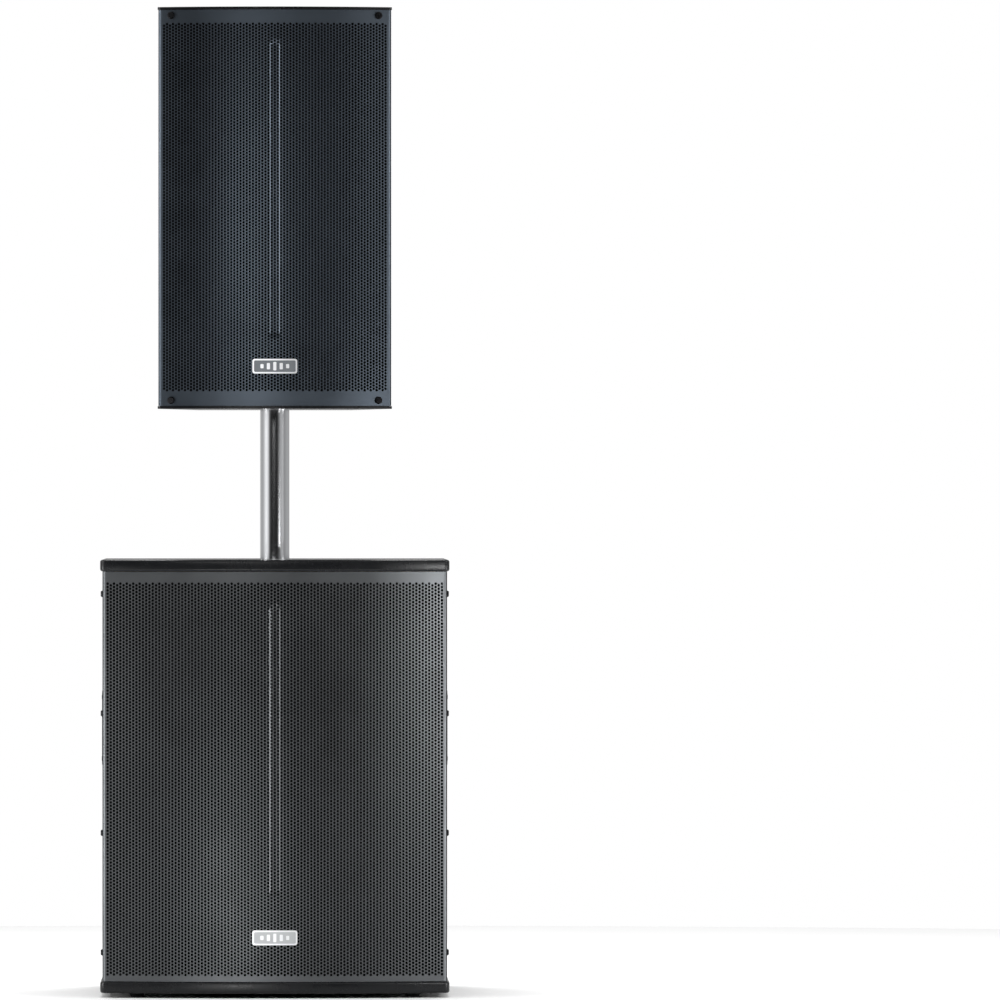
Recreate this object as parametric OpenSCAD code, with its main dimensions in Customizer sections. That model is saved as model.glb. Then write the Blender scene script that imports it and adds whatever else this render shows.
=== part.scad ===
// Active PA speaker stack: a two-way top cabinet on a pole that stands in the socket of a subwoofer.
// The front faces -Y and +Z is up. The origin is on the floor, under the pole's axis.

/* [Stack] */
// Bare length of pole between the two cabinets
pole_gap = 195; // [150:5:900]
// Height of the subwoofer's rubber feet
foot_h = 6; // [4:1:20]

/* [Subwoofer cabinet] */
// Width over the top and bottom boards
sub_w = 450; // [430:5:600]
// Height over the top and bottom boards
sub_h = 558; // [530:2:700]
// Depth from the middle of the curved front to the back
sub_d = 520; // [430:5:650]
// How far the middle of the front stands ahead of its corners
sub_bulge = 34; // [20:1:50]
// Radius of the two front corners, seen from above
sub_corner_r = 9; // [8:1:14]
// Thickness of every subwoofer board
sub_board = 15; // [12:1:18]
// How far the top and bottom boards stand out past the sides and the grille
sub_overhang = 3; // [3:0.5:8]
// Distance from the cabinet's bottom to the woofer's axis
sub_woofer_z = 336; // [325:1:345]
// Distance from the middle of the front back to the baffle's front face
sub_baffle_set = 60; // [56:1:80]
// How deep the amplifier panel sits in the back
sub_recess = 28; // [26:1:45]

/* [Top cabinet] */
// Width at the front
top_w = 305; // [295:5:400]
// Width at the back
top_back_w = 200; // [195:5:280]
// Height
top_h = 520; // [510:5:650]
// Depth from the middle of the curved front to the back
top_d = 310; // [300:5:420]
// How far the middle of the front stands ahead of its corners
top_bulge = 28; // [15:1:40]
// Radius of the two front corners, seen from above
top_corner_r = 6; // [5:1:12]
// Thickness of the lid, bottom and baffle boards
top_board = 15; // [12:1:18]
// Thickness of the side and back boards
top_side = 12; // [9:1:15]
// Thickness of board left showing above and below the grille
top_rim = 3.5; // [3:0.5:8]
// How far the lid and bottom stand out past the sides and the grille
top_overhang = 1; // [1:0.5:4]
// Distance from the cabinet's bottom to the woofer's axis
top_woofer_z = 165; // [160:1:170]
// Distance from the cabinet's bottom to the horn's axis
top_horn_z = 414; // [412:1:418]
// Distance from the middle of the front back to the baffle's front face
top_baffle_set = 43; // [40:1:60]
// How deep the amplifier panel sits in the back
top_recess = 24; // [23:1:35]

/* [Grilles] */
// Sheet thickness of both grilles
grille_t = 1.5; // [1:0.1:2]
// Length of the flanges that fold back along the cabinet's sides
flange_len = 20; // [12:1:30]
// Width of the pressed channel down the middle of each grille
channel_w = 15.4; // [10:0.2:24]
// Depth of that channel
channel_deep = 3; // [1:0.5:4]
// Thickness of the foam sheet behind each grille
foam_t = 5; // [3:1:6]
// Badge width
badge_w = 58; // [40:1:80]
// Badge height
badge_h = 19; // [15:1:30]
// Badge thickness
badge_t = 3; // [2:0.5:5]

/* [Pole] */
// Outside diameter of the pole
pole_d = 38; // [36:0.5:42]
// Outside diameter of the stepped upper end
spigot_d = 35; // [30:0.5:35.5]
// Wall of the tube
pole_wall = 2; // [1.5:0.5:3]
// Depth of the subwoofer's pole cup
cup_deep = 100; // [80:5:105]
// Length of the stepped upper end, plug included
spigot_len = 74; // [50:1:78]
// Radial room between the pole and each cup
pole_play = 0.3; // [0.2:0.05:0.6]

/* [Controls] */
// Diameter of a level knob
knob_d = 16; // [12:1:20]
// Travel of a push button
button_travel = 2; // [1:0.5:3]
// Angle that a power rocker swings through
rocker_swing = 16; // [10:1:20]

/* [Hidden] */
$fn = 96;
ARC_FN = 256;      // for the large arcs of the fronts
GAP = 0.3;         // room between pieces of different bodies, and where a piece drops in
CUT = 1;           // how far a cutting shape runs past the face it cuts
PLATE_T = 3;       // amplifier panels
D_BARREL = 12;     // radius of a panel connector's barrel
D_PLATE = [26, 31]; // flange of a panel connector
JACK_R = 3.3;      // bore of a combination connector's jack
JACK_DEEP = 18;
XLR_CUP_R = 9.4;
XLR_CUP_DEEP = 14;
POWER_CUP_R = 10.5;
POWER_CUP_DEEP = 15;
POWER_CORE_R = 5.5;
SHAFT_R = 3;
KNOB_H = 12;
BUTTON_R = 4;
BUTTON_OUT = 5;
ROCKER = [12, 19, 9];
ROCKER_PIVOT = 2.5; // depth of the rocker's axle under the panel's face
ROCKER_AXLE = [1.2, 14.4]; // radius and length
AXLE_PLAY = 0.06;
SCREW_R = 2;       // shank of a panel screw
SCREW_HEAD = [4, 2.2];
SUNK_HEAD = [3.8, 1.6]; // low head of a flange screw, let into its flange by SUNK
SUNK = 1.2;
FLUSH_HEAD = [3.8, 1.5]; // low head that lies wholly in its flange
BOLT_R = 2.5;      // shank of a driver or grille bolt
BOLT_HEAD = [4.75, 2.8];
HOLE_PLAY = 0.15;
GLUE = 0.01;        // glue line under a badge

// A cabinet's plan: [front half width, back half width, front y, back y, bulge, corner radius]
SUB = [sub_w / 2, sub_w / 2, -sub_d / 2, sub_d / 2, sub_bulge, sub_corner_r];
TOP = [top_w / 2, top_back_w / 2, -top_d / 2, top_d / 2, top_bulge, top_corner_r];

// A woofer: [frame radius, cutout radius, flange thickness, basket depth, basket back radius, cone radius,
//            surround width, voice coil radius, magnet radius, magnet height, plate thickness, cone depth]
SUB_WOOFER = [194, 177, 6, 120, 88, 150, 22, 50, 98, 27, 10, 70];
TOP_WOOFER = [129, 115, 5, 78, 60, 97, 13, 32, 68, 19, 7, 42];
COIL_TAIL = 8;      // how far a voice coil reaches past its top plate
PAPER = 1.5;        // thickness of cones and dust caps
RUBBER = 1.2;       // thickness of surrounds
SPIDER_DROP = 12;   // how far a spider sits behind its cone's neck

sub_z = foot_h;
sub_top_z = sub_z + sub_h;
top_z = sub_top_z + pole_gap;
cup_r = pole_d / 2 + pole_play;
socket_r = spigot_d / 2 + pole_play;
cup_wall = 2.5;
PLUG_T = 6;
pole_foot_z = sub_top_z - cup_deep + GAP;

sub_baffle_y = SUB[2] + sub_baffle_set;
top_baffle_y = TOP[2] + top_baffle_set;
sub_plate_y = SUB[3] - sub_recess;
top_plate_y = TOP[3] - top_recess;

SUB_PLATE = [230, 344];
TOP_PLATE = [150, 334];
sub_plate_z = sub_h / 2;
top_plate_z = top_h / 2;
PLATE_LIP = 9;      // overlap of an amplifier panel on its board

// Where things sit on the amplifier panels, seen from behind with +Y up
SUB_JACKS = [[-69, -76], [-23, -76]];
SUB_LINKS = [[23, -76], [69, -76]];
SUB_POWER = [[-69, -134], [-23, -134]];
SUB_ROCKER = [46, -134];
SUB_KNOB = [-69, -28];
SUB_BUTTON = [-23, -28];
TOP_JACKS = [[-44, -68], [0, -68]];
TOP_LINKS = [[44, -68]];
TOP_POWER = [[-44, -124], [0, -124]];
TOP_ROCKER = [44, -124];
TOP_KNOBS = [[-44, -22], [0, -22]];
TOP_BUTTON = [44, -22];
SUB_SINK = [180, 140, 22];
TOP_SINK = [120, 130, 18];
sub_sink_y = 86;
top_sink_y = 80;

// A handle: [length, height, depth, bar radius]
SUB_HANDLE = [190, 96, 55, 11];
TOP_HANDLE = [130, 80, 42, 9];
sub_handle_y = 40;
sub_handle_z = sub_h / 2 + 60;
top_handle_z = 300;
top_handle_run = 150; // distance of the top handles behind the front corner, along the side

SUB_CHANNEL = [126, 500]; // bottom and top of the pressed channel over the cabinet's bottom
TOP_CHANNEL = [92, 477];
sub_badge_z = 72;
top_badge_z = 55;
SUB_GRILLE_SCREWS = [52, 206, 360, 514];
GRILLE_SCREW_IN = [18, 11]; // grille screws of the top cabinet, in from its sides and its ends

BLACK = [0.06, 0.06, 0.065];
PAINT = [0.1, 0.1, 0.11];
STEEL = [0.2, 0.21, 0.22];
SILVER = [0.75, 0.76, 0.77];
BIRCH = [0.62, 0.47, 0.3];

// ---- Plan outlines -------------------------------------------------------------------------

function plan_radius(p) = (p[0] * p[0] + p[4] * p[4]) / (2 * p[4]);
function plan_centre(p) = [0, p[2] + plan_radius(p)];
function front_corner(p) = [p[0], p[2] + p[4]];
function side_run(p) = let (d = [p[1], p[3]] - front_corner(p)) d / norm(d);
function side_in(p) = let (u = side_run(p)) [-u[1], u[0]];
function corner_radius(p, e) = max(p[5] - e, 0.5);

// Centre of the right front corner's fillet, on the outline set in by e
function fillet_centre(p, e) =
    let (r = corner_radius(p, e), u = side_run(p),
         a = front_corner(p) + side_in(p) * (e + r) - plan_centre(p),
         b = a * u, k = a * a - pow(plan_radius(p) - e - r, 2))
    plan_centre(p) + a + u * (-b - sqrt(b * b - k));

// A point on the right side, set in by e, at depth y
function side_at(p, e, y) =
    let (s = front_corner(p) + side_in(p) * e, u = side_run(p)) s + u * ((y - s[1]) / u[1]);

function front_at(p, e, x) = plan_centre(p)[1] - sqrt(pow(plan_radius(p) - e, 2) - x * x);

// The whole plan set in by e: a curved front, filleted corners and straight sides
module plan2d(p, e = 0) {
    r = corner_radius(p, e);
    k = fillet_centre(p, e);
    out = (k - plan_centre(p)) / norm(k - plan_centre(p));
    reach = p[4] + 30;
    lap = [-5, 10];
    tip = k + out * reach;
    foot = k - side_in(p) * r;
    back = side_at(p, e, p[3]);
    intersection() {
        translate(plan_centre(p)) circle(plan_radius(p) - e, $fn = ARC_FN);
        polygon([[-k[0], k[1]], [-tip[0], tip[1]], [0, p[2] - reach], tip, k, k + lap,
            [-k[0] - lap[0], k[1] + lap[1]]]);
    }
    for (s = [-1, 1]) translate([s * k[0], k[1]]) circle(r);
    polygon([k, foot, back, [-back[0], back[1]], [-foot[0], foot[1]], [-k[0], k[1]]]);
}

// The part of the plan between two depths
module band2d(p, y0, y1) {
    translate([-p[0] - 50, y0]) square([2 * p[0] + 100, y1 - y0]);
}

module rounded(w, h, r) {
    square([w - 2 * r, h], center = true);
    square([w, h - 2 * r], center = true);
    for (x = [-1, 1], y = [-1, 1]) translate([x * (w / 2 - r), y * (h / 2 - r)]) circle(r, $fn = 48);
}

module rounded_plate(w, h, r, t) {
    linear_extrude(t) rounded(w, h, r);
}

module ring(r0, r1, z0, z1) {
    translate([0, 0, z0]) difference() {
        cylinder(h = z1 - z0, r = r1);
        translate([0, 0, -CUT]) cylinder(h = z1 - z0 + 2 * CUT, r = r0);
    }
}

// ---- Places --------------------------------------------------------------------------------

module in_sub() { translate([0, 0, sub_z]) children(); }
module in_top() { translate([0, 0, top_z]) children(); }

// Local +Z forwards (-Y), +Y up
module facing_front(y, z, x = 0) { translate([x, y, z]) rotate([90, 0, 0]) children(); }

// Local +Z backwards (+Y), +Y up
module facing_back(y, z) { translate([0, y, z]) rotate([90, 0, 180]) children(); }

// Local +Z outwards from a side (s = 1 is +X), local +Y up, on the outline set in by e, at depth y
module facing_side(p, s, e, y, z) {
    at = side_at(p, e, y);
    lean = atan2(-side_run(p)[0], side_run(p)[1]);
    translate([s * at[0], at[1], z]) rotate([90, 0, s * (90 + lean)]) children();
}

module at_each(list) { for (q = list) translate([q[0], q[1], 0]) children(); }

module screw(r, head, long) {
    difference() {
        union() {
            cylinder(h = head[1] * 0.45, r = head[0]);
            translate([0, 0, head[1] * 0.45]) cylinder(h = head[1] * 0.55, r1 = head[0], r2 = head[0] * 0.72);
            translate([0, 0, -long]) cylinder(h = long + 0.1, r = r, $fn = 32);
        }
        translate([0, 0, head[1] * 0.4]) cylinder(h = head[1], r = head[0] * 0.42, $fn = 6);
    }
}

module screw_hole(r, long) { translate([0, 0, -long]) cylinder(h = long + CUT, r = r + HOLE_PLAY, $fn = 32); }

// A screw hole through a flange of thickness t, with a seat that takes the whole of a low head
module flush_hole(t) {
    screw_hole(SCREW_R, t + CUT);
    translate([0, 0, -FLUSH_HEAD[1]])
        cylinder(h = FLUSH_HEAD[1] + CUT, r = FLUSH_HEAD[0] + HOLE_PLAY, $fn = 48);
}

function on_circle(n, r, turn = 0) =
    [for (i = [0:n - 1]) r * [cos(turn + i * 360 / n), sin(turn + i * 360 / n)]];

// Screw places round an amplifier panel
function plate_screws(size) = [for (x = [-1, 0, 1], y = [-1, 0, 1])
    if (x != 0 || y != 0) [x * (size[0] / 2 - 5), y * (size[1] / 2 - 5)]];

// Screw places round a handle's flange
function handle_screws(size) =
    [for (x = [-1, 1], y = [-1, 1]) [x * (size[0] / 2 - 8), y * (size[1] / 2 - 8)]];

// ---- Cabinet boards ------------------------------------------------------------------------

module full_board(p, t) { linear_extrude(t) plan2d(p); }

// Two side boards, rebated at the front for the grille's flanges
module side_boards(p, over, t, y0, z0, z1) {
    flange_end = fillet_centre(p, 0)[1] + flange_len;
    translate([0, 0, z0]) linear_extrude(z1 - z0) {
        intersection() {
            difference() {
                plan2d(p, over);
                plan2d(p, over + t);
            }
            band2d(p, flange_end + GAP, p[3]);
        }
        intersection() {
            difference() {
                plan2d(p, over + grille_t + GAP);
                plan2d(p, over + t);
            }
            band2d(p, y0, flange_end + GAP + CUT);
        }
    }
}

// A board that stands between the sides, its front face at y0
module cross_board(p, over, t_side, y0, t, z0, z1) {
    translate([0, 0, z0]) linear_extrude(z1 - z0) intersection() {
        plan2d(p, over + t_side);
        band2d(p, y0, y0 + t);
    }
}

// ---- Grilles -------------------------------------------------------------------------------

// The pressed channel, grown by e
module channel(p, over, span, e) {
    w = channel_w + 2 * e;
    depth = front_at(p, over, 0) + channel_deep + e;
    translate([0, depth, 0]) rotate([90, 0, 0]) linear_extrude(channel_deep + 2 * e + 20) {
        translate([-w / 2, span[0] + channel_w / 2]) square([w, span[1] - span[0] - channel_w]);
        for (z = [span[0] + channel_w / 2, span[1] - channel_w / 2]) translate([0, z]) circle(w / 2);
    }
}

module grille(p, over, z0, z1, span) {
    flange_end = fillet_centre(p, 0)[1] + flange_len;
    difference() {
        translate([0, 0, z0]) linear_extrude(z1 - z0) intersection() {
            plan2d(p, over);
            band2d(p, p[2], flange_end);
        }
        channel(p, over, span, 0);
        difference() {
            translate([0, 0, z0 - CUT]) linear_extrude(z1 - z0 + 2 * CUT) plan2d(p, over + grille_t);
            channel(p, over, span, grille_t);
        }
    }
}

module foam(p, over, y_end, z0, z1, span) {
    in = over + grille_t + GAP;
    difference() {
        translate([0, 0, z0]) linear_extrude(z1 - z0) intersection() {
            difference() {
                plan2d(p, in);
                plan2d(p, in + foam_t);
            }
            band2d(p, p[2], y_end);
        }
        channel(p, over, span, grille_t + GAP);
    }
}

// A slice of the grille's front, from `near` to `far` mm ahead of it
module ahead(p, over, near, far, h) {
    steps = 24;
    xs = [for (i = [0:steps]) badge_w * (i / steps - 0.5)];
    linear_extrude(h) polygon(concat(
        [for (x = xs) [x, front_at(p, over - far, x)]],
        [for (i = [steps:-1:0]) [xs[i], front_at(p, over - near, xs[i])]]));
}

// A badge plate that follows the grille's curve, with a raised rim and five plain bars
module fitted_badge(p, over, z) {
    rim = 2;
    low = badge_t - 1;
    run = p[4] + 20;
    translate([0, 0, z]) {
        difference() {
            intersection() {
                translate([0, 0, -badge_h / 2]) ahead(p, over, GLUE, badge_t, badge_h);
                facing_front(p[2] + run, 0) rounded_plate(badge_w, badge_h, 3, 2 * run);
            }
            intersection() {
                translate([0, 0, -badge_h / 2]) ahead(p, over, low, badge_t + CUT, badge_h);
                facing_front(p[2] + run, 0) rounded_plate(badge_w - 2 * rim, badge_h - 2 * rim, 2, 2 * run);
            }
        }
        intersection() {
            translate([0, 0, -badge_h / 2]) ahead(p, over, low - 0.2, badge_t - 0.2, badge_h);
            for (i = [-2:2]) facing_front(p[2] + run, 0, i * badge_w / 7)
                rounded_plate(badge_w / 14, (badge_h - 4 * rim) * (1 - 0.25 * abs(i)), 1, 2 * run);
        }
    }
}

// ---- Drivers, local +Z forwards, Z = 0 on the baffle's front face ---------------------------

function basket_bore(w, z) = w[4] + (w[1] - 4 - w[4]) * (z + w[3] - 4) / (w[3] - 4);
function spider_z(w) = -w[11] - SPIDER_DROP;
function frame_bolts(w) = on_circle(8, (w[0] + w[1]) / 2 + 1, 22.5);

module woofer_basket(w) {
    ledge = basket_bore(w, spider_z(w));
    difference() {
        rotate_extrude() polygon([[w[1] - 4, w[2]], [w[0], w[2]], [w[0], 0], [w[1] - 1, 0],
            [w[4] + 3, -w[3]], [w[7] + 4, -w[3]], [w[7] + 4, -w[3] + 4], [w[4], -w[3] + 4], [w[1] - 4, 0]]);
        for (a = [0:60:300]) rotate(a) translate([w[1] * 0.5, -w[1] * 0.19, -w[3] * 0.56])
            cube([w[1] * 0.6, w[1] * 0.38, w[3] * 0.42]);
        at_each(frame_bolts(w)) translate([0, 0, w[2]]) screw_hole(BOLT_R, w[2] + CUT);
    }
    ring(ledge - 8, ledge + 1.5, spider_z(w) - 4, spider_z(w) - 1);
}

// Top plate, ferrite ring and back plate with its vented pole piece
module woofer_motor(w) {
    top = -w[3];
    mag = top - w[10];
    back = mag - w[9];
    ring(w[7] + 1.6, w[8] - 3, mag, top);
    ring(w[7] + 10, w[8], back, mag);
    difference() {
        union() {
            translate([0, 0, back - w[10]]) cylinder(h = w[10], r = w[8] - 3);
            translate([0, 0, back - CUT]) cylinder(h = top - back + CUT, r = w[7] - 1.2);
        }
        translate([0, 0, back - w[10] - CUT]) cylinder(h = 2 * w[3], r = w[7] * 0.3);
    }
}

module woofer_cone(w) {
    rim = w[2] - GAP;
    cap_r = w[7] + 7;
    cap_h = cap_r * 0.34;
    ball = (cap_r * cap_r + cap_h * cap_h) / (2 * cap_h);
    seat = -w[11] + (cap_r - w[7]) * (rim + w[11]) / (w[5] - w[7]);
    rotate_extrude() {
        polygon([[w[5] - 4, rim], [cap_r, seat], [w[7] + 0.1, -w[11]], [w[7] + 0.1, -w[11] - PAPER],
            [w[5], rim - PAPER], [w[5], rim]]);
        intersection() {
            translate([0, seat + cap_h - ball]) difference() {
                circle(ball, $fn = ARC_FN);
                circle(ball - PAPER, $fn = ARC_FN);
            }
            translate([0, seat - 1.2]) square([cap_r + 0.6, cap_h + 5]);
        }
    }
}

module voice_coil(w) {
    end = -w[3] - w[10] - COIL_TAIL;
    ring(w[7] - 0.6, w[7], end, -w[11]);
    ring(w[7], w[7] + 0.8, end, end + w[10] + 2 * COIL_TAIL);
}

module woofer_surround(w) {
    mid = w[5] + w[6] / 2;
    rotate_extrude() {
        translate([mid, w[2]]) intersection() {
            difference() {
                circle(w[6] / 2, $fn = 64);
                circle(w[6] / 2 - RUBBER, $fn = 64);
            }
            translate([-w[6], 0]) square([2 * w[6], w[6]]);
        }
        translate([w[5] + w[6] - RUBBER, w[2]]) square([w[1] + 3 - w[5] - w[6] + RUBBER, RUBBER]);
        translate([w[5] - 4, w[2]]) square([4 + RUBBER, RUBBER]);
    }
}

// A disc with round corrugations, swept from a computed wave
module woofer_spider(w) {
    r0 = w[7] + 0.9;
    r1 = basket_bore(w, spider_z(w)) - 1;
    waves = 6;
    steps = waves * 6;
    wave = [for (i = [0:steps]) [r0 + (r1 - r0) * i / steps, 1.6 * sin(i * 60) * sin(i * 180 / steps)]];
    translate([0, 0, spider_z(w)]) rotate_extrude()
        polygon(concat([for (q = wave) q + [0, 0.5]], [for (i = [steps:-1:0]) wave[i] - [0, 0.5]]));
}

module frame_bolts_set(w) {
    at_each(frame_bolts(w)) translate([0, 0, w[2]]) screw(BOLT_R, BOLT_HEAD, w[2] + 10);
}

// ---- High-frequency horn, local +Z forwards ------------------------------------------------

HORN_MOUTH = [206, 138];
HORN_FLANGE = [232, 158, 4];
HORN_DEEP = 88;
THROAT_R = 12.7;
HORN_WALL = 3;
HORN_RINGS = 10;
HORN_SIDES = 56;
HF_R = 43;
HF_DEEP = 46;

function signed_pow(v, n) = sign(v) * pow(abs(v), n);

// One section of the horn at share t of its depth, grown by e
function horn_section(t, e) =
    let (flare = pow(t, 1.7), n = 2 / (2 + 5 * t),
         a = THROAT_R + (HORN_MOUTH[0] / 2 - THROAT_R) * flare + e,
         b = THROAT_R + (HORN_MOUTH[1] / 2 - THROAT_R) * flare + e)
    [for (i = [0:HORN_SIDES - 1]) let (q = (i + 0.5) * 360 / HORN_SIDES)
        [a * signed_pow(cos(q), n), b * signed_pow(sin(q), n),
            -HORN_DEEP + (HORN_DEEP + HORN_FLANGE[2]) * t]];

module horn_wall() {
    inner = [for (k = [0:HORN_RINGS]) each horn_section(k / HORN_RINGS, 0)];
    outer = [for (k = [0:HORN_RINGS]) each horn_section(k / HORN_RINGS, HORN_WALL)];
    m = HORN_SIDES;
    far = (HORN_RINGS + 1) * m;
    last = HORN_RINGS * m;
    faces = [for (i = [0:m - 1]) let (j = (i + 1) % m) each concat(
        [for (k = [0:HORN_RINGS - 1]) each [[k * m + j, (k + 1) * m + i, k * m + i],
            [k * m + j, (k + 1) * m + j, (k + 1) * m + i]]],
        [for (k = [0:HORN_RINGS - 1]) each [[far + (k + 1) * m + i, far + (k + 1) * m + j, far + k * m + i],
            [far + (k + 1) * m + j, far + k * m + j, far + k * m + i]]],
        [[far + j, j, i], [far + i, far + j, i]],
        [[last + j, far + last + j, last + i], [far + last + j, far + last + i, last + i]])];
    polyhedron(concat(inner, outer), faces);
}

function horn_bolts() = [for (x = [-1, 1], y = [-1, 1])
    [x * (HORN_FLANGE[0] / 2 - 8), y * (HORN_FLANGE[1] / 2 - 8)]];

module horn() {
    horn_wall();
    difference() {
        rounded_plate(HORN_FLANGE[0], HORN_FLANGE[1], 8, HORN_FLANGE[2]);
        translate([0, 0, -CUT]) linear_extrude(HORN_FLANGE[2] + 2 * CUT)
            polygon([for (q = horn_section(1, HORN_WALL / 2)) [q[0], q[1]]]);
        at_each(horn_bolts()) translate([0, 0, HORN_FLANGE[2]]) screw_hole(BOLT_R, HORN_FLANGE[2] + CUT);
    }
    difference() {
        translate([0, 0, -HORN_DEEP]) cylinder(h = 6, r = HF_R - 8, $fn = 64);
        translate([0, 0, -HORN_DEEP - CUT]) cylinder(h = 6 + 2 * CUT, r = THROAT_R + HORN_WALL / 2, $fn = 64);
    }
}

// A compression driver: adaptor plate, magnet drum and rear cover
module hf_driver() {
    translate([0, 0, -HORN_DEEP]) difference() {
        union() {
            translate([0, 0, -7]) cylinder(h = 7, r = HF_R - 6);
            translate([0, 0, -HF_DEEP + 14]) cylinder(h = HF_DEEP - 21, r = HF_R);
            translate([0, 0, -HF_DEEP]) cylinder(h = 14, r1 = HF_R - 8, r2 = HF_R - 3);
        }
        translate([0, 0, -14]) cylinder(h = 14 + CUT, r = THROAT_R);
    }
}

// ---- Amplifier panels, local +Z backwards, Z = 0 on the board that carries the panel --------

module d_hole() { translate([0, 0, -CUT]) cylinder(h = PLATE_T + 2 * CUT, r = D_BARREL + 0.3); }

module amp_panel(size, barrels, knobs, button, rocker) {
    difference() {
        rounded_plate(size[0], size[1], 4, PLATE_T);
        at_each(barrels) d_hole();
        at_each(knobs) translate([0, 0, -CUT]) cylinder(h = PLATE_T + 2 * CUT, r = SHAFT_R + GAP, $fn = 48);
        at_each([button]) translate([0, 0, -CUT])
            cylinder(h = PLATE_T + 2 * CUT, r = BUTTON_R + GAP, $fn = 48);
        at_each([rocker]) translate([0, 0, -CUT]) linear_extrude(PLATE_T + 2 * CUT)
            square([16, 23], center = true);
        at_each(plate_screws(size)) translate([0, 0, PLATE_T]) screw_hole(SCREW_R, PLATE_T + CUT);
    }
}

// A finned heat sink standing on the panel, its middle at height y
module heatsink(size, y) {
    fins = floor(size[0] / 10);
    step = (size[0] - 2.5) / fins;
    translate([0, y, PLATE_T]) {
        translate([-size[0] / 2, -size[1] / 2, 0]) cube([size[0], size[1], 4]);
        for (i = [0:fins]) translate([-size[0] / 2 + i * step, -size[1] / 2, 0])
            cube([2.5, size[1], size[2]]);
    }
}

// The board behind the panel, with its power supply, capacitors, coils and control bodies
module amp_circuit(size, barrels, knobs, button, rocker, sink_y) {
    deep = 34;
    w = size[0] - 2 * PLATE_LIP - 6;
    top = size[1] / 2 - PLATE_LIP - 4;
    translate([0, 0, -deep]) {
        translate([-w / 2, -top, 0]) cube([w, 2 * top, 1.6]);
        translate([-w * 0.3, sink_y, 1.5]) cylinder(h = 26, r = min(w * 0.13, 24));
        translate([w * 0.02, sink_y - 22, 1.5]) cube([w * 0.26, 44, 22]);
        for (i = [0:3]) translate([-w * 0.36 + i * w * 0.24, sink_y - 50, 1.5])
            cylinder(h = 24, r = w * 0.07, $fn = 48);
        for (x = [-1, 1], y = [-1, 1]) translate([x * (w / 2 - 6), y * (top - 6), 1.5])
            cylinder(h = deep - 1.5, r = 3, $fn = 32);
    }
    at_each(knobs) translate([0, 0, -deep]) cylinder(h = deep - 10 - GAP, r = 8, $fn = 48);
    at_each([button]) translate([0, 0, -deep]) cylinder(h = deep - 10, r = 6, $fn = 48);
    at_each([rocker]) translate([-7, -10.5, -deep]) cube([14, 21, deep - 14]);
}

module d_flange() {
    translate([0, 0, PLATE_T]) rounded_plate(D_PLATE[0], D_PLATE[1], 3, 2);
    translate([0, 0, -18]) cylinder(h = 18 + PLATE_T + CUT, r = D_BARREL);
}

D_TOP = PLATE_T + 2; // face of a connector's flange

// A combination microphone and jack input
module combo_jack() {
    difference() {
        d_flange();
        translate([0, 0, D_TOP - 1.5]) cylinder(h = 3, r = 9.6);
        translate([0, 0, D_TOP - JACK_DEEP]) cylinder(h = JACK_DEEP + CUT, r = JACK_R, $fn = 48);
        for (a = [90, 210, 330]) rotate(a) translate([6.4, 0, D_TOP - 12])
            cylinder(h = 14, r = 1.3, $fn = 24);
    }
    translate([-3.5, 10.2, D_TOP - 0.1]) cube([7, 4, 1.4]);
}

// A three-pin microphone output
module pin_link() {
    difference() {
        d_flange();
        translate([0, 0, D_TOP - XLR_CUP_DEEP]) cylinder(h = XLR_CUP_DEEP + CUT, r = XLR_CUP_R);
    }
    for (a = [90, 210, 330]) rotate(a) translate([5.2, 0, D_TOP - XLR_CUP_DEEP - CUT])
        cylinder(h = XLR_CUP_DEEP - 2 + CUT, r = 1.2, $fn = 24);
}

// A locking round mains connector
module power_socket() {
    difference() {
        d_flange();
        translate([0, 0, D_TOP - POWER_CUP_DEEP]) cylinder(h = POWER_CUP_DEEP + CUT, r = POWER_CUP_R);
    }
    difference() {
        translate([0, 0, D_TOP - POWER_CUP_DEEP - CUT])
            cylinder(h = POWER_CUP_DEEP - 1 + CUT, r = POWER_CORE_R);
        for (a = [0, 120, 240]) rotate(a) translate([1.6, -0.6, D_TOP - 10]) cube([2.6, 1.2, 12]);
    }
}

// The rocker's frame, clipped into the panel
module rocker_frame() {
    hole = [ROCKER[0] + 1, ROCKER[1] + 2.4];
    difference() {
        union() {
            translate([0, 0, PLATE_T]) rounded_plate(19, 26, 1.5, 1.5);
            translate([0, 0, -13.5]) linear_extrude(13.5 + PLATE_T + CUT) square([15.4, 22.4], center = true);
        }
        translate([0, 0, -12]) linear_extrude(20) square(hole, center = true);
        translate([-ROCKER_AXLE[1] / 2 - AXLE_PLAY, 0, PLATE_T - ROCKER_PIVOT]) rotate([0, 90, 0])
            cylinder(h = ROCKER_AXLE[1] + 2 * AXLE_PLAY, r = ROCKER_AXLE[0] + AXLE_PLAY, $fn = 48);
    }
}

module connectors(jacks, links, power, rocker) {
    at_each(jacks) combo_jack();
    at_each(links) pin_link();
    at_each(power) power_socket();
    at_each([rocker]) rocker_frame();
}

// A rocker key, resting with its lower half pressed
module rocker_key() {
    pivot = PLATE_T - ROCKER_PIVOT;
    half = ROCKER[1] / 2;
    translate([0, 0, pivot]) rotate([rocker_swing / 2, 0, 0]) rotate([90, 0, 90]) {
        translate([0, 0, -ROCKER[0] / 2]) linear_extrude(ROCKER[0])
            polygon([[-half, -2.5], [-2.5, -5], [2.5, -5], [half, -2.5], [half, 4.6], [0, 3.2],
                [-half, 4.6]]);
        translate([0, 0, -ROCKER_AXLE[1] / 2]) cylinder(h = ROCKER_AXLE[1], r = ROCKER_AXLE[0], $fn = 48);
    }
}

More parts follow.
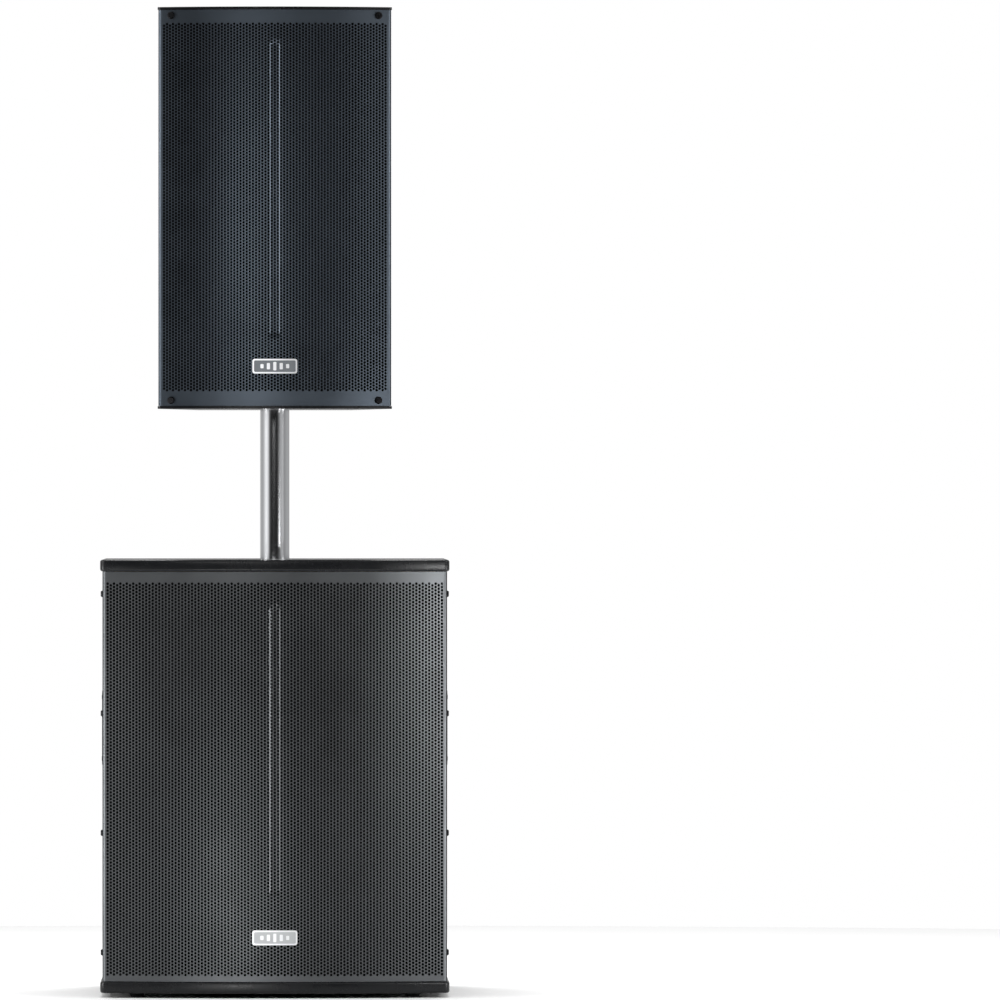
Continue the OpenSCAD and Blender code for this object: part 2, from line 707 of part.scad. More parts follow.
module level_knob() {
    difference() {
        union() {
            translate([0, 0, PLATE_T + 1.2]) cylinder(h = KNOB_H - 1, r = knob_d / 2);
            translate([0, 0, PLATE_T + KNOB_H + 0.2]) cylinder(h = 1, r1 = knob_d / 2, r2 = knob_d / 2 - 1);
            translate([0, 0, -10]) cylinder(h = 10 + PLATE_T + 2, r = SHAFT_R, $fn = 48);
        }
        for (a = [0:20:340]) rotate(a) translate([knob_d / 2 + 0.5, 0, PLATE_T + 3.5])
            cylinder(h = KNOB_H + 1, r = 1.1, $fn = 24);
        translate([-0.6, knob_d * 0.12, PLATE_T + KNOB_H + 0.7]) cube([1.2, knob_d / 2, 1]);
    }
}

module push_button() {
    translate([0, 0, -10 + button_travel + GAP])
        cylinder(h = 10 - button_travel - GAP + PLATE_T + BUTTON_OUT, r = BUTTON_R, $fn = 48);
}

// ---- Handles, local +Z outwards, +Y up, Z = 0 on the board's outer face --------------------

HANDLE_FLANGE = 2.4;
HANDLE_WALL = 2.5;
HANDLE_RIM = 16;

// A handle's cup without its hollow, from `depth` behind the side's face up to `top`
module handle_body(size, depth, top, grow = 0) {
    translate([0, 0, -depth]) rounded_plate(size[0] - 2 * HANDLE_RIM + 2 * (HANDLE_WALL + grow),
        size[1] - 2 * HANDLE_RIM + 2 * (HANDLE_WALL + grow), 8 + grow, depth + top);
}

// The bar that the fingers close on, its ends and its upper side let into the cup's walls
module handle_bar(size) {
    intersection() {
        translate([-size[0] / 2 + HANDLE_RIM - 1, size[1] / 2 - HANDLE_RIM - size[3] * 0.55, -size[3] * 0.75])
            rotate([0, 90, 0]) cylinder(h = size[0] - 2 * HANDLE_RIM + 2, r = size[3]);
        handle_body(size, size[2], HANDLE_FLANGE, -0.5);
    }
}

module handle_cup(size) {
    difference() {
        union() {
            rounded_plate(size[0], size[1], 10, HANDLE_FLANGE);
            handle_body(size, size[2], 1);
        }
        translate([0, 0, -size[2] + HANDLE_WALL])
            rounded_plate(size[0] - 2 * HANDLE_RIM, size[1] - 2 * HANDLE_RIM, 6, size[2] + 10);
        at_each(handle_screws(size)) translate([0, 0, HANDLE_FLANGE])
            screw_hole(SCREW_R, HANDLE_FLANGE + CUT);
        at_each(handle_screws(size)) translate([0, 0, HANDLE_FLANGE - SUNK])
            cylinder(h = SUNK + CUT, r = SUNK_HEAD[0] + HOLE_PLAY, $fn = 48);
    }
    handle_bar(size);
}

module handle_hole(size, t) {
    handle_body(size, t + 5, 5, 0.5);
    at_each(handle_screws(size)) screw_hole(SCREW_R, 10);
}

// ---- Subwoofer -----------------------------------------------------------------------------

cup_flange_r = 52;
CUP_FLANGE_T = 3;
function cup_screws() = on_circle(6, cup_flange_r - 8, 30);
function foot_places() = [for (x = [-1, 1], y = [-1, 1]) [x * (SUB[0] - 47), y * (sub_d / 2 - 72)]];

module sub_top_board() {
    color(PAINT) in_sub() difference() {
        translate([0, 0, sub_h - sub_board]) full_board(SUB, sub_board);
        translate([0, 0, sub_h - sub_board - CUT])
            cylinder(h = sub_board + 2 * CUT, r = cup_r + cup_wall + 0.5);
        translate([0, 0, sub_h - CUP_FLANGE_T]) cylinder(h = CUP_FLANGE_T + CUT, r = cup_flange_r + GAP);
        at_each(cup_screws()) translate([0, 0, sub_h - CUP_FLANGE_T]) screw_hole(SCREW_R, 11);
    }
}

module sub_bottom_board() {
    color(PAINT) in_sub() full_board(SUB, sub_board);
}

module sub_side_boards() {
    color(PAINT) in_sub() difference() {
        side_boards(SUB, sub_overhang, sub_board, sub_baffle_y - 8, sub_board, sub_h - sub_board);
        for (s = [-1, 1]) facing_side(SUB, s, sub_overhang, sub_handle_y, sub_handle_z)
            handle_hole(SUB_HANDLE, sub_board);
        for (s = [-1, 1]) side_screw_places(s) screw_hole(BOLT_R, 10);
    }
}

module side_screw_places(s) {
    y = fillet_centre(SUB, 0)[1] + flange_len - 8;
    for (z = SUB_GRILLE_SCREWS) facing_side(SUB, s, sub_overhang, y, z) children();
}

module sub_back_board() {
    color(PAINT) in_sub() difference() {
        cross_board(SUB, sub_overhang, sub_board, sub_plate_y - sub_board, sub_board, sub_board,
            sub_h - sub_board);
        facing_back(sub_plate_y, sub_plate_z) amp_cutout(SUB_PLATE, sub_board);
    }
}

module amp_cutout(size, t) {
    translate([0, 0, -t - CUT])
        rounded_plate(size[0] - 2 * PLATE_LIP, size[1] - 2 * PLATE_LIP, 4, t + 2 * CUT);
    at_each(plate_screws(size)) screw_hole(SCREW_R, 10);
}

PORT = [150, 66, 150]; // width, height and length of a port duct
PORT_WALL = 9;
port_x = PORT[0] / 2 + 24;
port_z = sub_board + PORT[1] / 2 + PORT_WALL;

module sub_baffle() {
    color(BIRCH) in_sub() difference() {
        cross_board(SUB, sub_overhang, sub_board, sub_baffle_y, sub_board, sub_board, sub_h - sub_board);
        facing_front(sub_baffle_y, sub_woofer_z) {
            translate([0, 0, -sub_board - CUT]) cylinder(h = sub_board + 2 * CUT, r = SUB_WOOFER[1]);
            at_each(frame_bolts(SUB_WOOFER)) screw_hole(BOLT_R, 11);
        }
        for (s = [-1, 1]) facing_front(sub_baffle_y, port_z, s * port_x)
            translate([0, 0, -sub_board - CUT]) rounded_plate(PORT[0], PORT[1], 12, sub_board + 2 * CUT);
    }
}

// Two ducts glued behind the baffle's port openings
module sub_port_ducts() {
    color(BIRCH) in_sub() for (s = [-1, 1]) facing_front(sub_baffle_y, port_z, s * port_x)
        translate([0, 0, -sub_board - PORT[2]]) difference() {
            rounded_plate(PORT[0] + 2 * PORT_WALL, PORT[1] + 2 * PORT_WALL - 0.4, 12, PORT[2]);
            translate([0, 0, -CUT]) rounded_plate(PORT[0], PORT[1], 12, PORT[2] + 2 * CUT);
        }
}

module sub_handles() {
    color(BLACK) in_sub() for (s = [-1, 1])
        facing_side(SUB, s, sub_overhang, sub_handle_y, sub_handle_z) handle_cup(SUB_HANDLE);
}

module sub_feet() {
    color(BLACK) at_each(foot_places()) difference() {
        cylinder(h = foot_h, r1 = 8, r2 = 10, $fn = 48);
        translate([0, 0, -CUT]) cylinder(h = foot_h / 2 + CUT, r = 4, $fn = 48);
    }
}

module sub_grille() {
    color(STEEL) in_sub() difference() {
        grille(SUB, sub_overhang, sub_board + GAP, sub_h - sub_board - GAP, SUB_CHANNEL);
        for (s = [-1, 1]) side_screw_places(s) screw_hole(BOLT_R, 5);
    }
}

module sub_grille_foam() {
    color(BLACK) in_sub()
        foam(SUB, sub_overhang, sub_baffle_y - 12, sub_board + 2, sub_h - sub_board - 2, SUB_CHANNEL);
}

module sub_badge() { color(SILVER) in_sub() fitted_badge(SUB, sub_overhang, sub_badge_z); }

module at_sub_woofer() { in_sub() facing_front(sub_baffle_y, sub_woofer_z) children(); }
module sub_woofer_basket() { color(BLACK) at_sub_woofer() woofer_basket(SUB_WOOFER); }
module sub_woofer_motor() { color(STEEL) at_sub_woofer() woofer_motor(SUB_WOOFER); }
module sub_woofer_cone() { color(BLACK) at_sub_woofer() woofer_cone(SUB_WOOFER); }
module sub_woofer_surround() { color(BLACK) at_sub_woofer() woofer_surround(SUB_WOOFER); }
module sub_woofer_spider() { color(BIRCH) at_sub_woofer() woofer_spider(SUB_WOOFER); }
module sub_voice_coil() { color(SILVER) at_sub_woofer() voice_coil(SUB_WOOFER); }
module sub_woofer_bolts() { color(BLACK) at_sub_woofer() frame_bolts_set(SUB_WOOFER); }

SUB_BARRELS = concat(SUB_JACKS, SUB_LINKS, SUB_POWER);
module at_sub_panel() { in_sub() facing_back(sub_plate_y, sub_plate_z) children(); }
module sub_amp_panel() {
    color(BLACK) at_sub_panel() amp_panel(SUB_PLATE, SUB_BARRELS, [SUB_KNOB], SUB_BUTTON, SUB_ROCKER);
}
module sub_heatsink() { color(BLACK) at_sub_panel() heatsink(SUB_SINK, sub_sink_y); }
module sub_amp_circuit() {
    color("darkgreen") at_sub_panel()
        amp_circuit(SUB_PLATE, SUB_BARRELS, [SUB_KNOB], SUB_BUTTON, SUB_ROCKER, sub_sink_y);
}
module sub_connectors() {
    color(BLACK) at_sub_panel() connectors(SUB_JACKS, SUB_LINKS, SUB_POWER, SUB_ROCKER);
}
module sub_power_rocker() { color(BLACK) at_sub_panel() at_each([SUB_ROCKER]) rocker_key(); }
module sub_level_knob() { color(BLACK) at_sub_panel() at_each([SUB_KNOB]) level_knob(); }
module sub_phase_button() { color(SILVER) at_sub_panel() at_each([SUB_BUTTON]) push_button(); }

// The cup that takes the pole's foot, its flange let into the top board
module sub_pole_cup() {
    color(BLACK) translate([0, 0, sub_top_z]) difference() {
        union() {
            translate([0, 0, -CUP_FLANGE_T]) cylinder(h = CUP_FLANGE_T, r = cup_flange_r);
            translate([0, 0, -cup_deep - cup_wall]) cylinder(h = cup_deep + cup_wall, r = cup_r + cup_wall);
        }
        translate([0, 0, -cup_deep]) cylinder(h = cup_deep + CUT, r = cup_r);
        at_each(cup_screws()) flush_hole(CUP_FLANGE_T);
    }
}

module sub_grille_screws() {
    color(SILVER) in_sub() for (s = [-1, 1]) side_screw_places(s) screw(BOLT_R, [4.2, 2.4], 10);
}

module sub_panel_screws() {
    color(BLACK) {
        at_sub_panel() at_each(plate_screws(SUB_PLATE)) translate([0, 0, PLATE_T])
            screw(SCREW_R, SCREW_HEAD, PLATE_T + 9);
        in_sub() for (s = [-1, 1]) facing_side(SUB, s, sub_overhang, sub_handle_y, sub_handle_z)
            at_each(handle_screws(SUB_HANDLE)) translate([0, 0, HANDLE_FLANGE - SUNK])
                screw(SCREW_R, SUNK_HEAD, 10);
        translate([0, 0, sub_top_z - FLUSH_HEAD[1]]) at_each(cup_screws()) screw(SCREW_R, FLUSH_HEAD, 10);
    }
}

// ---- Pole ----------------------------------------------------------------------------------

spigot_z = top_z - GAP; // the step, just under the top cabinet

module pole_tube() {
    color(SILVER) difference() {
        union() {
            translate([0, 0, pole_foot_z]) cylinder(h = spigot_z - pole_foot_z, r = pole_d / 2);
            translate([0, 0, spigot_z - CUT]) cylinder(h = spigot_len - PLUG_T + CUT, r = spigot_d / 2);
        }
        translate([0, 0, pole_foot_z - CUT])
            cylinder(h = spigot_z - pole_foot_z - 4 + CUT, r = pole_d / 2 - pole_wall);
        translate([0, 0, spigot_z - 10]) cylinder(h = spigot_len + 10, r = spigot_d / 2 - pole_wall);
    }
}

// Closes the tube's foot, pushed into its bore
module pole_foot_plug() {
    color(BLACK) translate([0, 0, pole_foot_z]) cylinder(h = 22, r = pole_d / 2 - pole_wall);
}

// The cap that carries the top cabinet and turns with it, its stem loose in the tube
module pole_top_plug() {
    color(BLACK) translate([0, 0, spigot_z + spigot_len - PLUG_T + GAP]) {
        cylinder(h = PLUG_T - GAP, r = spigot_d / 2 - 0.2);
        translate([0, 0, -18]) cylinder(h = 18 + CUT, r = spigot_d / 2 - pole_wall - 0.1);
    }
}

// ---- Top cabinet ---------------------------------------------------------------------------

socket_deep = spigot_len + GAP;
function socket_screws() = on_circle(4, 34, 45);
SOCKET_FLANGE = [42, 3];

// A lid or bottom board with its rim at z = 0: full size for the rim, then set back behind the grille
module top_cap_board() {
    linear_extrude(top_rim) plan2d(TOP);
    translate([0, 0, top_rim]) linear_extrude(top_board - top_rim) union() {
        plan2d(TOP, top_overhang + grille_t + GAP);
        intersection() {
            plan2d(TOP, top_overhang);
            band2d(TOP, fillet_centre(TOP, 0)[1] + flange_len + GAP, TOP[3]);
        }
    }
}

module top_lid_board() {
    color(PAINT) in_top() difference() {
        translate([0, 0, top_h]) mirror([0, 0, 1]) top_cap_board();
        grille_screw_places() screw_hole(BOLT_R, 14);
    }
}

module top_bottom_board() {
    color(PAINT) in_top() difference() {
        top_cap_board();
        translate([0, 0, -CUT]) cylinder(h = top_board + 2 * CUT, r = socket_r + cup_wall + 0.5);
        translate([0, 0, -CUT]) cylinder(h = SOCKET_FLANGE[1] + CUT, r = SOCKET_FLANGE[0] + GAP);
        mirror([0, 0, 1]) at_each(socket_screws()) translate([0, 0, -SOCKET_FLANGE[1]])
            screw_hole(SCREW_R, 10);
        grille_screw_places() screw_hole(BOLT_R, 14);
    }
}

// Local +Z forwards on the grille's face at each of its four corners
module grille_screw_places() {
    x = TOP[0] - GRILLE_SCREW_IN[0];
    for (s = [-1, 1], z = [GRILLE_SCREW_IN[1], top_h - GRILLE_SCREW_IN[1]])
        facing_front(front_at(TOP, top_overhang, x - BOLT_HEAD[0]), z, s * x) children();
}

module top_side_boards() {
    color(PAINT) in_top() difference() {
        side_boards(TOP, top_overhang, top_side, top_baffle_y - 6, top_board, top_h - top_board);
        for (s = [-1, 1]) at_top_handle(s) handle_hole(TOP_HANDLE, top_side);
    }
}

module at_top_handle(s) {
    facing_side(TOP, s, top_overhang, front_corner(TOP)[1] + top_handle_run, top_handle_z) children();
}

module top_back_board() {
    color(PAINT) in_top() difference() {
        cross_board(TOP, top_overhang, top_side, top_plate_y - top_side, top_side, top_board,
            top_h - top_board);
        facing_back(top_plate_y, top_plate_z) amp_cutout(TOP_PLATE, top_side);
    }
}

top_port_r = 20;
top_port_x = 106;
top_port_z = 312;

module top_baffle() {
    color(BIRCH) in_top() difference() {
        cross_board(TOP, top_overhang, top_side, top_baffle_y, top_board, top_board, top_h - top_board);
        facing_front(top_baffle_y, top_woofer_z) {
            translate([0, 0, -top_board - CUT]) cylinder(h = top_board + 2 * CUT, r = TOP_WOOFER[1]);
            at_each(frame_bolts(TOP_WOOFER)) screw_hole(BOLT_R, 11);
        }
        facing_front(top_baffle_y, top_horn_z) {
            translate([0, 0, -top_board - CUT]) rounded_plate(HORN_MOUTH[0] + 2 * HORN_WALL + 1,
                HORN_MOUTH[1] + 2 * HORN_WALL + 1, 4, top_board + 2 * CUT);
            at_each(horn_bolts()) screw_hole(BOLT_R, 11);
        }
        for (s = [-1, 1]) facing_front(top_baffle_y, top_port_z, s * top_port_x)
            translate([0, 0, -top_board - CUT]) cylinder(h = top_board + 2 * CUT, r = top_port_r);
    }
}

module top_handles() { color(BLACK) in_top() for (s = [-1, 1]) at_top_handle(s) handle_cup(TOP_HANDLE); }

module top_grille() {
    color(STEEL) in_top() difference() {
        grille(TOP, top_overhang, top_rim + GAP, top_h - top_rim - GAP, TOP_CHANNEL);
        grille_screw_places() screw_hole(BOLT_R, 8);
    }
}

module top_grille_foam() {
    color(BLACK) in_top()
        foam(TOP, top_overhang, top_baffle_y - 8, top_board + 2, top_h - top_board - 2, TOP_CHANNEL);
}

module top_badge() { color(SILVER) in_top() fitted_badge(TOP, top_overhang, top_badge_z); }

module at_top_woofer() { in_top() facing_front(top_baffle_y, top_woofer_z) children(); }
module at_top_horn() { in_top() facing_front(top_baffle_y, top_horn_z) children(); }
module top_woofer_basket() { color(BLACK) at_top_woofer() woofer_basket(TOP_WOOFER); }
module top_woofer_motor() { color(STEEL) at_top_woofer() woofer_motor(TOP_WOOFER); }
module top_woofer_cone() { color(BLACK) at_top_woofer() woofer_cone(TOP_WOOFER); }
module top_woofer_surround() { color(BLACK) at_top_woofer() woofer_surround(TOP_WOOFER); }
module top_woofer_spider() { color(BIRCH) at_top_woofer() woofer_spider(TOP_WOOFER); }
module top_voice_coil() { color(SILVER) at_top_woofer() voice_coil(TOP_WOOFER); }
module top_horn() { color(BLACK) at_top_horn() horn(); }
module top_hf_driver() { color(STEEL) at_top_horn() hf_driver(); }
module top_driver_bolts() {
    color(BLACK) {
        at_top_woofer() frame_bolts_set(TOP_WOOFER);
        at_top_horn() at_each(horn_bolts()) translate([0, 0, HORN_FLANGE[2]])
            screw(BOLT_R, BOLT_HEAD, HORN_FLANGE[2] + 10);
    }
}

TOP_BARRELS = concat(TOP_JACKS, TOP_LINKS, TOP_POWER);
module at_top_panel() { in_top() facing_back(top_plate_y, top_plate_z) children(); }
module top_amp_panel() {
    color(BLACK) at_top_panel() amp_panel(TOP_PLATE, TOP_BARRELS, TOP_KNOBS, TOP_BUTTON, TOP_ROCKER);
}
module top_heatsink() { color(BLACK) at_top_panel() heatsink(TOP_SINK, top_sink_y); }
module top_amp_circuit() {
    color("darkgreen") at_top_panel()
        amp_circuit(TOP_PLATE, TOP_BARRELS, TOP_KNOBS, TOP_BUTTON, TOP_ROCKER, top_sink_y);
}
module top_connectors() {
    color(BLACK) at_top_panel() connectors(TOP_JACKS, TOP_LINKS, TOP_POWER, TOP_ROCKER);
}
module top_power_rocker() { color(BLACK) at_top_panel() at_each([TOP_ROCKER]) rocker_key(); }
module top_level_knob_a() { color(BLACK) at_top_panel() at_each([TOP_KNOBS[0]]) level_knob(); }
module top_level_knob_b() { color(BLACK) at_top_panel() at_each([TOP_KNOBS[1]]) level_knob(); }
module top_mode_button() { color(SILVER) at_top_panel() at_each([TOP_BUTTON]) push_button(); }

// The blind socket that drops over the pole's spigot, its flange let into the bottom board
module top_pole_socket() {
    color(BLACK) in_top() difference() {
        union() {
            cylinder(h = SOCKET_FLANGE[1], r = SOCKET_FLANGE[0]);
            cylinder(h = socket_deep + cup_wall, r = socket_r + cup_wall);
        }
        translate([0, 0, -CUT]) cylinder(h = socket_deep + CUT, r = socket_r);
        mirror([0, 0, 1]) at_each(socket_screws()) flush_hole(SOCKET_FLANGE[1]);
    }
}

module top_grille_screws() { color(BLACK) in_top() grille_screw_places() screw(BOLT_R, BOLT_HEAD, 12); }

module top_panel_screws() {
    color(BLACK) {
        at_top_panel() at_each(plate_screws(TOP_PLATE)) translate([0, 0, PLATE_T])
            screw(SCREW_R, SCREW_HEAD, PLATE_T + 8);
        in_top() for (s = [-1, 1]) at_top_handle(s)
            at_each(handle_screws(TOP_HANDLE)) translate([0, 0, HANDLE_FLANGE - SUNK])
                screw(SCREW_R, SUNK_HEAD, 9);
        in_top() mirror([0, 0, 1]) at_each(socket_screws()) translate([0, 0, -FLUSH_HEAD[1]])
            screw(SCREW_R, FLUSH_HEAD, 9);
    }
}

// ---- Nodes ---------------------------------------------------------------------------------

sub_top_board();
sub_bottom_board();
sub_side_boards();
sub_back_board();
sub_baffle();
sub_port_ducts();
sub_handles();
sub_feet();
sub_grille();
sub_grille_foam();
sub_badge();
sub_woofer_basket();
sub_woofer_motor();
sub_woofer_cone();
sub_woofer_surround();
sub_woofer_spider();
sub_voice_coil();
sub_amp_panel();
sub_heatsink();
sub_amp_circuit();
sub_connectors();
sub_power_rocker();
sub_level_knob();
sub_phase_button();
sub_pole_cup();
sub_grille_screws();
sub_panel_screws();
sub_woofer_bolts();
pole_tube();
pole_foot_plug();
pole_top_plug();
top_lid_board();
top_bottom_board();
top_side_boards();
top_back_board();
top_baffle();
top_handles();
top_grille();
top_grille_foam();
top_badge();
top_woofer_basket();
top_woofer_motor();
top_woofer_cone();
top_woofer_surround();
top_woofer_spider();
top_voice_coil();
top_horn();
top_hf_driver();
top_amp_panel();
top_heatsink();
top_amp_circuit();
top_connectors();
top_power_rocker();
top_level_knob_a();
top_level_knob_b();
top_mode_button();
top_pole_socket();
top_grille_screws();
top_panel_screws();
top_driver_bolts();
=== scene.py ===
"""Looks of a powered PA stack: a slim two-way cabinet on a chrome pole above a subwoofer."""

from __future__ import annotations

import logging
import math
from collections.abc import Iterable, Sequence
from dataclasses import dataclass
from enum import Enum

import bmesh
import bpy
import numpy as np
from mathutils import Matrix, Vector


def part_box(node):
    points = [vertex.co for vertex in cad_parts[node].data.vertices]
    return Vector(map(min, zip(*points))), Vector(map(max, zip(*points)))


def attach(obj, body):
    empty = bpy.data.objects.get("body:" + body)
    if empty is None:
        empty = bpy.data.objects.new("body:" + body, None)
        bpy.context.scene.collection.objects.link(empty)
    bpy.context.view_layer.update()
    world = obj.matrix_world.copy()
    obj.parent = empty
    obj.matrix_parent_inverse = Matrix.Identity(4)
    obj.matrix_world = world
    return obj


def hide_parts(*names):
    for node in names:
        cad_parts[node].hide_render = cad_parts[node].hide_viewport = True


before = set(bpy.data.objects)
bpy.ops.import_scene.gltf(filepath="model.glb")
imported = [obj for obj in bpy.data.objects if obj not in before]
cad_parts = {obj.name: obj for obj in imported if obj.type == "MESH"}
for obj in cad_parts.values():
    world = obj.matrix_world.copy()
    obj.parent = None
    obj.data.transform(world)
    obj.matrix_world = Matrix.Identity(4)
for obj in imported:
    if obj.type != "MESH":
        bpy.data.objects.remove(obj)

MM = 0.001
SLIVER = 1e-11  # twice the smallest face's area in square metres
TOUCHING = 1e-9  # distance in metres at which two places are the same
LOG = logging.getLogger("pa_stack")
Point2 = tuple[float, float]
Point3 = tuple[float, float, float]
Colour = tuple[float, float, float]
Box2 = tuple[float, float, float, float]
Socket = bpy.types.NodeSocket


class Body(Enum):
    """The moving groups that a piece can ride on."""

    SUB = "sub"
    SUB_KNOB = "sub_level_knob"
    TOP = "top"
    TOP_KNOB_A = "top_level_knob_a"
    TOP_KNOB_B = "top_level_knob_b"


class Axis(Enum):
    """The direction that a brushed finish runs in, with the noise's stretch along each axis."""

    ACROSS = (0.02, 1.0, 1.0)
    DEEP = (1.0, 0.02, 1.0)
    UP = (1.0, 1.0, 0.02)


def linear(red: float, green: float, blue: float) -> Colour:
    """Turns a display colour into the linear one that shaders take.

    Args:
        red: Display red from 0 to 255.
        green: Display green from 0 to 255.
        blue: Display blue from 0 to 255.

    Returns:
        The linear colour, each channel from 0 to 1.
    """

    def channel(value: float) -> float:
        """Returns one channel's linear value."""
        share = value / 255.0
        return share / 12.92 if share <= 0.04045 else ((share + 0.055) / 1.055) ** 2.4

    return channel(red), channel(green), channel(blue)


def scaled(colour: Colour, factor: float) -> Colour:
    """Returns a colour made darker or lighter by a factor."""
    return tuple(channel * factor for channel in colour)


class Nodes:
    """A node tree under construction."""

    def __init__(self, tree: bpy.types.NodeTree) -> None:
        """Starts work on a tree."""
        self.tree = tree

    def add(self, kind: str, **fields: object) -> bpy.types.Node:
        """Adds a node and sets its fields.

        Args:
            kind: The node's type name.
            fields: Attributes to set on the node.

        Returns:
            The new node.
        """
        node = self.tree.nodes.new(kind)
        for key, value in fields.items():
            setattr(node, key, value)
        return node

    def join(self, output: Socket, node: bpy.types.Node, key: str | int) -> None:
        """Links an output to a node's input."""
        self.tree.links.new(output, node.inputs[key])

    def remap(self, value: Socket, low: float, high: float, start: float = 0.35, end: float = 0.65,
              curve: str = "LINEAR") -> Socket:
        """Maps a value onto a range, clamped.

        Args:
            value: The value.
            low: The result at start.
            high: The result at end.
            start: The value that gives low.
            end: The value that gives high.
            curve: How the result runs from low to high.

        Returns:
            The mapped value.
        """
        node = self.add("ShaderNodeMapRange", interpolation_type=curve)
        self.join(value, node, "Value")
        for key, number in (("From Min", start), ("From Max", end), ("To Min", low), ("To Max", high)):
            node.inputs[key].default_value = number
        return node.outputs["Result"]

    def shades(self, value: Socket, stops: Sequence[tuple[float, Colour]]) -> Socket:
        """Turns a value into a colour through a ramp.

        Args:
            value: The value from 0 to 1.
            stops: Places on the ramp and their colours.

        Returns:
            The colour.
        """
        node = self.add("ShaderNodeValToRGB")
        ramp = node.color_ramp
        while len(ramp.elements) < len(stops):
            ramp.elements.new(0.5)
        for element, (at, colour) in zip(ramp.elements, stops):
            element.position = at
            element.color = (*colour, 1.0)
        self.join(value, node, "Fac")
        return node.outputs["Color"]

    def mixed(self, share: Socket, under: Socket, colour: Colour) -> Socket:
        """Mixes a plain colour over another one.

        Args:
            share: How much of the plain colour shows.
            under: The other colour.
            colour: The plain colour.

        Returns:
            The mixed colour.
        """
        node = self.add("ShaderNodeMix", data_type="RGBA")
        self.join(share, node, "Factor")
        self.join(under, node, 6)
        node.inputs[7].default_value = (*colour, 1.0)
        return node.outputs[2]


class Graph(Nodes):
    """A node material under construction, placed by the object's own coordinates in metres."""

    def __init__(self, name: str, **settings: object) -> None:
        """Starts a material whose shader sockets hold the given constants.

        Args:
            name: The material's name.
            settings: Shader socket names, with underscores for spaces, and their values.
        """
        self.material = bpy.data.materials.new(name)
        self.material.use_nodes = True
        super().__init__(self.material.node_tree)
        self.shader = self.tree.nodes["Principled BSDF"]
        for key, value in settings.items():
            socket = self.shader.inputs[key.replace("_", " ")]
            socket.default_value = (*value, 1.0) if isinstance(value, tuple) else value
        self.place = self.add("ShaderNodeTexCoord").outputs["Object"]

    def stretched(self, scale: Point3) -> Socket:
        """Stretches the object's coordinates.

        Args:
            scale: The factor on each axis.

        Returns:
            The stretched coordinates.
        """
        node = self.add("ShaderNodeMapping")
        node.inputs["Scale"].default_value = scale
        self.join(self.place, node, "Vector")
        return node.outputs["Vector"]

    def noise(self, scale: float, detail: float = 3.0, rough: float = 0.55,
              place: Socket | None = None) -> Socket:
        """Adds a noise pattern.

        Args:
            scale: Features per metre.
            detail: Octaves of finer pattern.
            rough: Share of the finer octaves.
            place: Coordinates to use instead of the object's.

        Returns:
            The noise's value from 0 to 1.
        """
        node = self.add("ShaderNodeTexNoise")
        for key, number in (("Scale", scale), ("Detail", detail), ("Roughness", rough)):
            node.inputs[key].default_value = number
        self.join(place or self.place, node, "Vector")
        return node.outputs["Fac"]

    def relief(self, height: Socket, depth: float) -> None:
        """Adds relief to the surface.

        Args:
            height: The height pattern from 0 to 1.
            depth: The relief's depth in metres.
        """
        node = self.add("ShaderNodeBump")
        node.inputs["Strength"].default_value = 1.0
        node.inputs["Distance"].default_value = depth
        self.join(height, node, "Height")
        self.join(node.outputs["Normal"], self.shader, "Normal")

    def colour(self, output: Socket) -> None:
        """Wires a colour into the shader."""
        self.join(output, self.shader, "Base Color")

    def roughness(self, output: Socket) -> None:
        """Wires a roughness into the shader."""
        self.join(output, self.shader, "Roughness")


@dataclass(frozen=True)
class Finish:
    """What all finishes have.

    Attributes:
        name: The material's name.
        tone: Display colour of the surface.
    """

    name: str
    tone: Colour

    def make(self) -> bpy.types.Material:
        """Returns the finish's material."""
        raise NotImplementedError


@dataclass(frozen=True)
class Coating(Finish):
    """A paint, powder coat, plastic or rubber with a fine grain.

    Attributes:
        drift: How much lighter the lightest patches are, as a factor.
        rough: Middle roughness.
        rough_drift: Roughness spread to each side.
        grain: Grain size in metres.
        depth: Grain depth in metres.
        metal: Metallic share.
        gloss: Clear coat weight.
        sheen: Specular level.
        grazing: Reflectance of the metallic share at a grazing view.
        patches: Light and dark patches per metre.
        smudges: Dull and shiny smudges per metre.
    """

    drift: float = 1.25
    rough: float = 0.5
    rough_drift: float = 0.06
    grain: float = 0.0009
    depth: float = 0.00008
    metal: float = 0.0
    gloss: float = 0.0
    sheen: float = 0.5
    grazing: float = 1.0
    patches: float = 9.0
    smudges: float = 26.0

    def make(self) -> bpy.types.Material:
        """Makes the coating's material.

        Returns:
            The material.
        """
        graph = Graph(self.name, Metallic=self.metal, Coat_Weight=self.gloss, Coat_Roughness=0.15,
                      Specular_IOR_Level=self.sheen, Specular_Tint=(self.grazing, self.grazing, self.grazing))
        base = linear(*self.tone)
        light = tuple(min(1.0, channel * self.drift) for channel in base)
        dark = tuple(channel / self.drift for channel in base)
        graph.colour(graph.shades(graph.noise(self.patches, 4.0), [(0.3, dark), (0.5, base), (0.72, light)]))
        smudged = graph.noise(self.smudges, 5.0, 0.65)
        graph.roughness(graph.remap(smudged, self.rough - self.rough_drift, self.rough + self.rough_drift))
        graph.relief(graph.noise(1.0 / self.grain, 2.0, 0.5), self.depth)
        return graph.material


